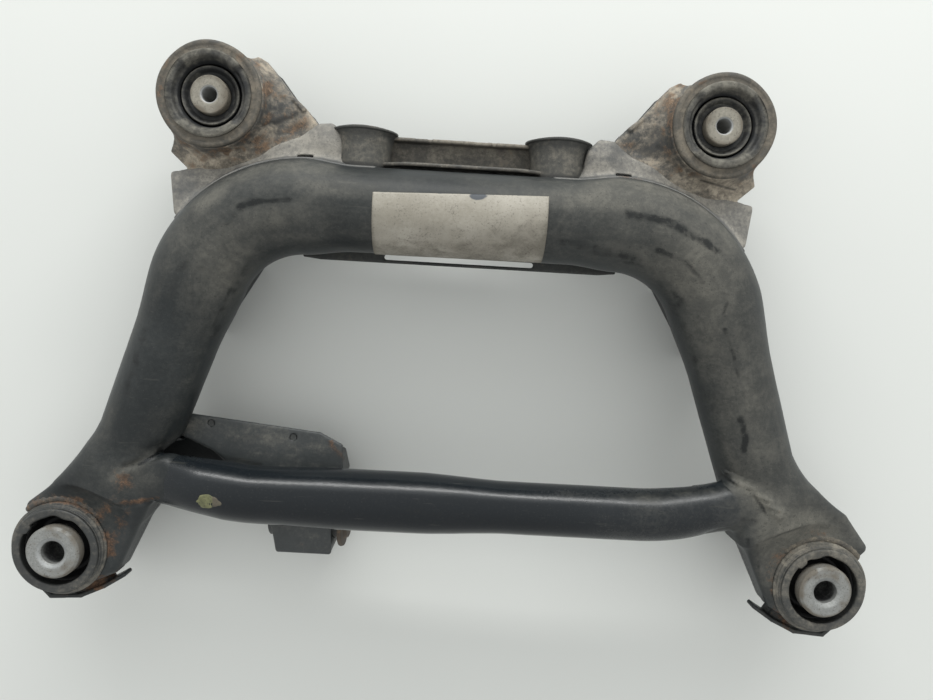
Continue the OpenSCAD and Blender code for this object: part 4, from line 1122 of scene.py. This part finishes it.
# marking paint on the cross tube
def build_daub():
    p, r = cross_line()
    n = 46
    v, f = [], []
    uu, ww = np.linspace(-13.5, 13.5, n), np.linspace(-11, 11, n)
    for a in uu:
        for b in ww:
            x = -223 + a
            i = int(np.argmin(np.abs(p[:, 0] - x)))
            q = math.pi / 2 - math.asin(np.clip((61.5 + b - p[i, 1]) / r[i], -0.95, 0.95))
            edge = 1 - math.hypot(a / 10.8, b / 9.2) + 0.55 * (noise(np.array([[x, b, 0.0]]), 5.0, 3)[0] - 0.5)
            lift = 0.75 * float(step(-0.12, 0.2, edge)) + 0.5 * (noise(np.array([[x, b, 3.0]]), 3.0, 8)[0] - 0.5) * float(step(0, 0.3, edge)) - 0.45
            v.append((x, p[i, 1] + (r[i] + lift) * math.cos(q), -18 + (r[i] + lift) * math.sin(q)))
    for a in range(n - 1):
        for b in range(n - 1):
            f.append((a * n + b, (a + 1) * n + b, (a + 1) * n + b + 1, a * n + b + 1))
    m = len(v)
    low = [(x, y - 0.0, z - 1.6) for x, y, z in v]
    rim = [a * n for a in range(n)] + [(n - 1) * n + b for b in range(1, n)] + [a * n + n - 1 for a in range(n - 2, -1, -1)] + [b for b in range(n - 2, 0, -1)]
    f += [tuple(m + i for i in q[::-1]) for q in f]
    for i in range(len(rim)):
        a, b = rim[i], rim[(i + 1) % len(rim)]
        f.append((b, a, m + a, m + b))
    piece("marking_daub", np.array(v + low), f, M_DAUB, (), lambda v, n: {"dust": step(-223, -216, v[:, 0])})


build_daub()


# ---------------------------------------------------------------- rear consoles
CON = [(262, 358), (264, 374), (279, 388), (272, 400), (262, 440), (218, 468), (203, 472.5), (197, 478.5), (189, 474.5), (165, 446), (151, 434), (141, 421), (146, 400), (190, 382), (235, 366)]


def console_d(x, y, z):
    eye = np.hypot(x - 235.5, y - 437)
    d2 = smin(poly(x, y, grown(CON, -1.5)) - 1.5, eye - 43.5, 7)
    sag = 3.0 * step(78, 54, eye) - 1.6 * step(8, 22, -d2) + 1.6 * step(24, 4, -poly(x, y, [(262, 358), (279, 388), (272, 400), (150, 436), (141, 421), (146, 400)]))
    out = slab(d2, z, -57, -26 + sag, 4.2)
    ins = slab(d2 + 3, z, -80, -30.5, 2.0)
    d = smax(out, -ins, 0.6)
    rim = slab(np.abs(eye - 45.6) - 2.6, z, -45, -2.9, 1.2)
    tab = slab(rpoly(x, y, [(150, 436), (155, 431), (168.5, 444.5), (163.5, 449.5)], 0.8), z, -42, -22.5, 0.9)
    d = smin(smin(d, rim, 24.0), tab, 0.8)
    outline = np.minimum(poly(x, y, grown(CON, -1.5)) - 1.5, eye - 47.7)
    return np.maximum(smax(d, outline, 1.2), 43.3 - eye)


def build_consoles():
    v, f = nets(console_d, (134, 352, -60), (288, 488, 2), 1.6)
    for s, word in ((1, "right"), (-1, "left")):
        w, g = (v, f) if s > 0 else mirrored(v, f)
        w = w + 0.0
        w[:, 2] += (1.4 * (fbm(w, 26, 3) - 0.5) + 0.7 * (fbm(w, 6, 5) - 0.5)) * step(-44, -30, w[:, 2])
        piece(f"rear_console_upper_{word}", w, g, M_CONSOLE, (f"rear_console_upper_{word}",), console_soil)


build_consoles()


# ---------------------------------------------------------------- rear bushes
def build_rear_bushes():
    for s, word in ((1, "right"), (-1, "left")):
        x, y = 235.5 * s, 437.0
        v, f = lathe([(40.5, -58), (43.5, -58), (43.5, -22), (40.5, -22)], r=0.8)
        piece(f"rear_bush_housing_{word}", at(v, x, y), f, M_CONSOLE, (f"rear_bush_housing_{word}",), plain_soil(0.35, 0.3, 6))

        def dish(r, z, t):
            return r + 0.25 * np.sin(5 * t + s) * (r > 46), z + np.where(z > 0.4, 0.45 * np.sin(2 * t + s) - 1.0 * np.exp(-((r - 41.6) / 1.6) ** 2), 0)

        v, f = lathe([(38.5, -57), (40.5, -57), (40.5, -3.0), (46.6, -3.0), (47.9, -2.0), (47.9, 0.2), (46.4, 1.9), (43.5, 2.3), (38.5, 2.6)], shape=dish, r=1.0)
        piece(f"rear_bush_outer_{word}", at(v, x, y), f, M_FLANGE, (f"rear_bush_outer_sleeve_{word}",), rear_soil)

        def lugs(r, z, t):
            a = t if s > 0 else math.pi - t
            low = np.zeros(a.shape)
            for mid, half in ((0.0, 0.82), (math.pi, 0.76)):
                low = np.maximum(low, step(half + 0.06, half - 0.06, np.abs(np.angle(np.exp(1j * (a - mid))))))
            raised = step(-5, 3.0, z) * step(39.4, 37.6, r) * step(28.6, 30.6, r)
            bump = 1.3 * (np.exp(-((np.abs(np.angle(np.exp(1j * (a - 0.75)))) / 0.10) ** 2)) + np.exp(-((np.abs(np.angle(np.exp(1j * (a + 0.72)))) / 0.10) ** 2)))
            return r + 0.7 * low * raised, z - 3.4 * low * raised + bump * raised + 0.3 * np.sin(5 * t) * raised

        v, f = lathe([(17.3, -63), (26, -63), (38.4, -58), (38.4, 2.4), (38.9, 3.0), (38.9, 4.6), (37.6, 5.7), (34.2, 5.9), (32.6, 5.2), (31.0, 2.2), (29.4, -2.6), (28.2, -5.6), (27.9, -22), (26.7, -22), (26.7, -4.6), (25.9, -3.6), (24.0, -4.6), (21.5, -8.5), (17.4, -9.2)], shape=lugs, r=0.8)
        piece(f"rear_bush_rubber_{word}", at(v, x, y), f, M_SEAT, (f"rear_bush_rubber_{word}",), rear_rubber_soil)
        v, f = lathe([(7, -70), (17.25, -70), (17.25, -0.8), (16.5, 0), (8.4, 0), (7, -1.3)], r=0.35)
        piece(f"rear_bush_core_{word}", at(v, x, y), f, M_ALLOY_R, (f"rear_bush_core_{word}",), face_soil)


build_rear_bushes()


# ---------------------------------------------------------------- gussets
GUS = [(262, 322), (274, 331), (278, 369), (237, 381), (192, 397), (158, 409), (140, 422), (126, 423), (115, 411), (112, 394), (100, 372), (150, 360), (215, 335)]
GLIP = [(262, 322), (274, 331), (278, 369), (158, 409), (115, 411), (112, 396), (101, 391), (84, 389.5), (84, 372), (150, 360), (215, 335)]


def gusset_d(x, y, z):
    plan = rpoly(x, y, GUS, 6.0)
    swell = 4.0 * step(0, 24, -plan) + 5.0 * np.exp(-((x - 126) / 22) ** 2 - ((y - 408) / 26) ** 2)
    plate = slab(plan, z, -30, -22.5 + swell, 5.0)
    skirt = slab(rpoly(x, y, [(268.5, 331), (274, 331), (278, 369), (273, 369)], 1.5), z, -64, -24, 1.8)
    d = smin(plate, skirt, 4.0)
    near = tube_d(x, y, z)
    lip = poly(x, y, GLIP)
    cuff = np.maximum(np.maximum(near - 0.9, lip - 1.0), np.maximum(-30 - z, z + 5))
    d = smin(d, cuff, 9.0)
    # a slot on the seam
    slot = slab(np.maximum(np.abs(x - 150) - 8, np.abs(y - 389.5) - 1.3), z, -40, 0)
    d = np.maximum(d, -slot)
    return np.maximum(d, -(near + 3.0))


def build_gussets():
    v, f = nets(gusset_d, (80, 312, -67), (286, 430, 4), 1.7)
    for s, word in ((1, "right"), (-1, "left")):
        w, g = (v, f) if s > 0 else mirrored(v, f)
        w = w + 0.0
        w[:, 2] += 0.8 * (fbm(w, 38, 5) - 0.5)
        piece(f"rear_gusset_{word}", w, g, M_GUSSET, (f"rear_gusset_{word}",), gusset_soil)


build_gussets()


# ---------------------------------------------------------------- differential sleeves
def build_sleeves():
    for s, word, x in ((-1, "left", -98.5), (1, "right", 89.5)):
        v, f = lathe([(23.8, 350), (26.8, 350), (26.4, 396), (26.9, 405), (28.4, 412.5), (30.4, 416.6), (32.2, 417.2), (32.2, 419.3), (30.4, 419.5), (27.2, 415), (25.2, 408), (23.8, 397)], shape=lambda r, z, t: (r + 0.35 * np.sin(2 * t + x) * step(400, 419, z), z + 0.5 * np.sin(3 * t) * step(414, 419, z)), r=0.9)
        w = np.stack([v[:, 0] + x, v[:, 2], -v[:, 1] - 38.0], 1)
        # the sleeve skin south of y 387 is darkened as painted shade, a dark slit between the plate's lip and the tube
        piece(f"diff_sleeve_{word}", w, f, M_FUNNEL, (f"diff_sleeve_{word}",),
              lambda v, n: {"dust": 0.34 + 0.3 * (fbm(v, 22, 3) - 0.5) - 0.30 * step(415.5, 417, v[:, 1]) - 0.25 * step(405, 413, v[:, 1]), "rust": 0.22 * step(0.5, 0.7, fbm(v, 12, 5)), "dark": 0.9 * step(387.5, 385.5, v[:, 1]), "pale": 0.0})
        v, f = lathe([(13, 387.5), (23.8, 387), (23.8, 396.5), (20, 397), (17, 393), (13, 396)], r=0.8)
        piece(f"diff_bush_rubber_{word}", np.stack([v[:, 0] + x, v[:, 2], -v[:, 1] - 38.0], 1), f, M_RUBBER, (f"diff_bush_rubber_{word}",), plain_soil(0.2, 0, 3))
        v, f = lathe([(7, 384), (13, 384), (13, 413.4), (12.3, 414), (7.8, 414), (7, 413.2)], r=0.35)
        piece(f"diff_bush_core_{word}", np.stack([v[:, 0] + x, v[:, 2], -v[:, 1] - 38.0], 1), f, M_ALLOY_R, (f"diff_bush_core_{word}",), lambda v, n: {"dust": 0.6})


build_sleeves()


def build_rear_plate():
    x0, x1 = -98.5, 89.5

    def box(x, y, z, a, b, c, d, e, g, r):
        qx, qy, qz = np.maximum(x - b, a - x) + r, np.maximum(y - d, c - y) + r, np.maximum(z - g, e - z) + r
        o = np.sqrt(np.maximum(qx, 0) ** 2 + np.maximum(qy, 0) ** 2 + np.maximum(qz, 0) ** 2)
        return o + np.minimum(np.maximum(qx, np.maximum(qy, qz)), 0) - r

    def f(x, y, z):
        lip = -35 - 1.4 * step(0.5, 0.9, np.sin(x * 0.11)) - 2.5 * step(2.5, 1.5, np.abs(np.abs(x + 4) - 31))
        d = box(x, y, z, x0, x1, 386, 416.5, -50, -46.5, 1.2)
        d = smin(d, np.maximum(box(x, y, z, x0, x1, 413, 416.5, -50, -35, 1.3), z - lip), 2.5)
        d = smin(d, box(x, y, z, x0, x1, 386, 389.5, -64, -34, 1.3), 2.5)
        front = -10.5 - 13.0 * step(38, 86, np.abs(x)) ** 2
        d = smin(d, np.maximum(box(x, y, z, -83, 83, 386, 389.5, -60, -10, 1.4), z - front), 1.5)
        return smin(d, box(x, y, z, x0, x1, 364, 389.5, -66, -62.5, 1.2), 2.5)

    v, g = nets(f, (-102, 360, -70), (93, 420, -6), 1.5)
    piece("rear_cross_plate", v, g, M_PLATE, ("rear_cross_plate",),
          lambda v, n: {"dust": 0.34 + 0.3 * (fbm(v, 24, 3) - 0.5) + 0.1 * step(-42, -36, v[:, 2]) - 0.3 * step(-30, -22, v[:, 2]), "rust": 0.3 * step(0.5, 0.68, fbm(v, 13, 5)), "dark": 0.35 * step(0.55, 0.7, fbm(v, 16, 7)), "pale": 0.3 * step(-38.2, -35.6, v[:, 2]) * (v[:, 1] > 410) * step(0.4, 0.65, fbm(v, 9, 9)) + 0.12 * step(-13, -11, v[:, 2])})


build_rear_plate()


# ---------------------------------------------------------------- differential front bracket
BRK_TOP = [(-117, -7), (-117, 20), (-112, 30), (-111, 53), (-107, 76), (-109, 109), (-132, 120.5), (-296, 136), (-306, 131), (-302, 122), (-241, 96), (-200, 62), (-178, 17), (-173, -7)]
BRK = [(-117, -7), (-117, 20), (-112, 30), (-111, 64), (-107, 76), (-112, 95), (-136, 105.5), (-296, 123), (-302, 113), (-242, 88), (-200, 56), (-178, 17), (-173, -7)]


def bracket_d(x, y, z):
    top = slab(rpoly(x, y, BRK_TOP, 2.5), z, -54, -50, 1.7)
    d2 = rpoly(x, y, BRK, 2.0)
    wall = np.maximum(slab(d2, z, -96, -53, 0.8), -slab(d2 + 4, z, -140, -40, 0.5))
    wall = np.maximum(wall, -np.maximum(np.maximum(x + 177.5, y - 104), z + 54.0))
    d = smin(top, wall, 3.5)
    plate = slab(poly(x, y, [(-310, 66), (-310, 122), (-262, 118), (-214, 112), (-214, 62), (-262, 52)]), z, -82, -78, 0.8)
    d = smin(d, plate, 0.8)
    for hx, hy in ((-243.5, 124), (-159.5, 114)):
        d = smax(d, -np.maximum(np.hypot(x - hx, y - hy) - 3.2, -52.9 - z), 0.4)
    hole = np.maximum(np.hypot(y - 28, z + 80) - 25.6, x + 60)
    return np.maximum(d, -hole)


def build_bracket():
    v, f = nets(bracket_d, (-314, -12, -99), (-103, 141, -46), 1.65)
    v = v + 0.0
    v[:, 2] += 0.8 * (fbm(v, 34, 3) - 0.5)

    def soil(v, n):
        u, w = seen(v)
        fc = facing(v, n)
        top = step(-56, -50, v[:, 2])
        dust = 0.06 + 0.35 * (fbm(v, 36, 4) - 0.5) - 0.4 * (1 - top) + fc * (0.12 * line(u, w, [(190, 420), (240, 436), (330, 446)], 6) + 0.35 * spot(u, w, 192, 428, 12, 8) - 0.12 * spot(u, w, 300, 542, 30, 14))
        rust = fc * (0.6 * line(u, w, [(330, 440), (345, 460)], 6) * step(0.35, 0.6, fbm(v, 10, 6)) + 0.4 * spot(u, w, 300, 548, 26, 8) * step(0.45, 0.65, fbm(v, 10, 8)))
        hole = np.minimum(np.hypot(v[:, 0] + 243.5, v[:, 1] - 124), np.hypot(v[:, 0] + 159.5, v[:, 1] - 114))
        # dark below z -70 and in the bolt holes is painted shade, and the dark line along the web's edge paints out the
        # light it catches
        dark = 0.8 * (v[:, 2] < -70) + 2.0 * step(3.6, 3.0, hole) + fc * (0.9 * line(u, w, [(177, 435), (196, 446), (215, 456)], 3.0) + 0.55 * line(u, w, [(200, 452), (260, 464)], 5) + 0.45 * spot(u, w, 250, 436, 24, 5, 8) * step(0.4, 0.6, fbm(v, 16, 9)))
        return {"dust": dust, "rust": rust, "dark": dark, "pale": 0.2 * fc * line(u, w, [(194, 416), (300, 430), (330, 438)], 2.5) * step(0.4, 0.6, fbm(v, 12, 11))}

    piece("diff_front_bracket", v, f, M_BRACKET, ("diff_front_bracket",), soil)

    def turned(v):
        return np.stack([v[:, 2], v[:, 0] + 28, v[:, 1] - 80], 1)

    v, f = lathe([(22.5, -184), (25.5, -184), (25.5, -111.2), (22.5, -111.2)], r=0.6)
    piece("diff_front_sleeve", turned(v), f, M_HIDDEN, ("diff_front_sleeve",), plain_soil(0.1, 0.3, 5))
    v, f = lathe([(12, -180), (22.4, -180), (22.4, -111.5), (34.2, -111), (35, -109), (34.2, -106.4), (27, -106), (26, -104), (25, -102.2), (14, -101.8), (12, -103)], shape=lambda r, z, t: (r + 0.5 * np.sin(4 * t) * (r > 24), z), r=0.9)
    piece("diff_front_rubber", turned(v), f, M_BROWN, ("diff_front_rubber",), plain_soil(0.3, 0.4, 7))
    v, f = lathe([(7, -186), (12, -186), (12, -98.6), (11.4, -98), (7.8, -98), (7, -98.8)], r=0.35)
    piece("diff_front_core", turned(v), f, M_ALLOY_R, ("diff_front_core",), lambda v, n: {"dust": 0.7})


build_bracket()


# ---------------------------------------------------------------- label
def build_label():
    w, n, m = 157.0, 100, 54
    v, f = [], []
    xs = np.linspace(-w / 2, w / 2, n)
    ang = np.radians(np.linspace(114, 6, m))
    for i, x in enumerate(xs):
        for j, a in enumerate(ang):
            ex = min(x + w / 2, w / 2 - x, (j + 0.0) * 40 * 108 / 57.3 / m, (m - 1 - j) * 40 * 108 / 57.3 / m)
            wob = 0.25 * float(noise(np.array([[x, j * 1.1, 5.0]]), 16.0, 3)[0])
            curl = 0.22 * math.exp(-ex / 2.0) * float(noise(np.array([[x, j * 1.1, 9.0]]), 11.0, 7)[0])
            r = 40.32 + 0.4 * wob + curl
            skew = math.radians(8.5) * (x / w + 0.5)
            py, pz = r * math.cos(math.pi - a - skew), r * math.sin(a + skew)
            v.append((x - 2.0, py, pz))
    for i in range(n - 1):
        for j in range(m - 1):
            f.append((i * m + j, (i + 1) * m + j, (i + 1) * m + j + 1, i * m + j + 1))
    q = len(v)
    inner = []
    for x, py, pz in v:
        k = (math.hypot(py, pz) - 0.6) / math.hypot(py, pz)
        inner.append((x, py * k, pz * k))
    f += [tuple(q + i for i in g[::-1]) for g in f]
    rim = [i * m for i in range(n)] + [(n - 1) * m + j for j in range(1, m)] + [i * m + m - 1 for i in range(n - 2, -1, -1)] + [j for j in range(m - 2, 0, -1)]
    for i in range(len(rim)):
        a, b = rim[i], rim[(i + 1) % len(rim)]
        f.append((b, a, q + a, q + b))
    p = np.array(v + inner)
    w3 = np.stack([p[:, 0], 343 + p[:, 1] * CT - p[:, 2] * ST, -16 + p[:, 1] * ST + p[:, 2] * CT], 1)
    # front of the part is -Y: the sheet runs from 24 degrees behind the crown to 84 in front of it
    q0 = np.array(f[0])
    nn = np.cross(w3[q0[1]] - w3[q0[0]], w3[q0[2]] - w3[q0[0]])
    if nn[2] < 0:
        f = [g[::-1] for g in f]

    def soil(v, n):
        u, w = seen(v)
        x = np.abs(v[:, 0] + 2)
        edge = np.exp(-(78.5 - x) / 3.0)
        dust = 0.30 + 0.4 * edge + 0.4 * (fbm(v, 26, 3) - 0.5) + 0.34 * step(222, 252, w) + 0.22 * spot(u, w, 520, 235, 34, 24) - 0.12 * step(215, 198, w)
        dark = 1.3 * spot(u, w, 478, 196, 8.5, 4.2) + 0.35 * line(u, w, [(376, 196), (380, 254)], 1.6) + 0.5 * line(u, w, [(378, 192), (548, 196)], 1.4) * step(0.45, 0.65, fbm(v, 6, 13))
        pale = 0.22 * spot(u, w, 440, 205, 60, 12) + 0.3 * line(u, w, [(388, 200), (398, 232)], 2.0) * step(0.4, 0.6, fbm(v, 8, 5))
        return {"dust": dust, "dark": dark, "pale": pale}

    piece("tube_label", w3, f, M_LABEL, ("tube_label",), soil)


build_label()

# ---------------------------------------------------------------- lower plate
def build_lower_plate():
    def f(x, y, z):
        wide = rpoly(x, y, [(-158, 298), (-140, 296), (140, 296), (158, 298), (157, 306), (140, 353), (-140, 353), (-157, 306)], 1.2)
        d = slab(wide, z, -59.4, -56.1, 1.3)
        slot = np.maximum(np.hypot(np.maximum(np.abs(x + 1) - 72.5, 0), y - 302) - 2.6, 0 * z - 100)
        return smax(d, -slot, 1.2)

    v, g = nets(f, (-162, 290, -63), (162, 357, -52), 1.4)
    piece("lower_cross_plate", v, g, M_TUBE, ("lower_cross_plate",), plain_soil(0.22, 0.25, 3))


build_lower_plate()

# ---------------------------------------------------------------- nodes shown as drawn, with rounded edges
for name in ("front_link_bracket_left", "front_link_bracket_right", "rear_link_bracket_left", "rear_link_bracket_right",
             "rear_console_lower_left", "rear_console_lower_right"):
    ob = NODES[name]
    ob.data.materials.clear()
    ob.data.materials.append(M_HIDDEN)
    b = ob.modifiers.new("edge", "BEVEL")
    b.width = 0.0007
    b.segments = 2
    b.limit_method = "ANGLE"
    b.angle_limit = math.radians(40)

# ---------------------------------------------------------------- floor, light, camera
me = bpy.data.meshes.new("floor")
me.from_pydata([(-9, -9, -0.0004), (9, -9, -0.0004), (9, 9, -0.0004), (-9, 9, -0.0004)], [], [(0, 1, 2, 3)])
floor = bpy.data.objects.new("floor", me)
scene.collection.objects.link(floor)
t = Tree("pale_floor")
t.put(t.b.inputs["Base Color"], t.mix(t.noise(2.5, 3, 0.5), (0.64, 0.653, 0.633), (0.672, 0.685, 0.665)))
t.b.inputs["Roughness"].default_value = 0.75
me.materials.append(t.m)

world = bpy.data.worlds.new("studio")
scene.world = world
world.use_nodes = True
bg = world.node_tree.nodes["Background"]
bg.inputs["Color"].default_value = (0.985, 1.0, 0.985, 1.0)
sky = world.node_tree.nodes.new("ShaderNodeTexCoord")
part = world.node_tree.nodes.new("ShaderNodeSeparateXYZ")
fade = world.node_tree.nodes.new("ShaderNodeMapRange")
fade.inputs["From Min"].default_value, fade.inputs["From Max"].default_value = -1.0, 1.0
fade.inputs["To Min"].default_value, fade.inputs["To Max"].default_value = 0.66, 1.13
world.node_tree.links.new(sky.outputs["Generated"], part.inputs[0])
world.node_tree.links.new(part.outputs["Y"], fade.inputs["Value"])
world.node_tree.links.new(fade.outputs["Result"], bg.inputs["Strength"])


def lamp(name, where, aim, size, power, colour=(1, 1, 1)):
    d = bpy.data.lights.new(name, "AREA")
    d.shape = "RECTANGLE"
    d.size, d.size_y = size
    d.energy = power
    d.color = colour
    o = bpy.data.objects.new(name, d)
    scene.collection.objects.link(o)
    o.location = where
    o.rotation_euler = (Vector(aim) - Vector(where)).to_track_quat("-Z", "Y").to_euler()
    return o


lamp("strip", (0.1, 1.9, 0.95), (0.0, 0.0, 0.05), (2.4, 0.2), 32, (1.0, 1.0, 0.98))
lamp("window", (0.0, 2.7, 1.7), (0.0, 0.0, 0.05), (4.0, 1.5), 16, (0.93, 0.98, 1.0))

cam = bpy.data.cameras.new("camera")
cam.sensor_fit = "HORIZONTAL"
cam.sensor_width = 36.0
cam.lens = 36.0 * PX / 933.0
cam.clip_start, cam.clip_end = 0.01, 50
co = bpy.data.objects.new("camera", cam)
scene.collection.objects.link(co)
turn = Matrix([list(r) for r in ROT.T]).to_4x4()
co.matrix_world = Matrix.Translation(Vector(metres(CAM).tolist())) @ turn
scene.camera = co
scene.view_settings.view_transform = "Standard"
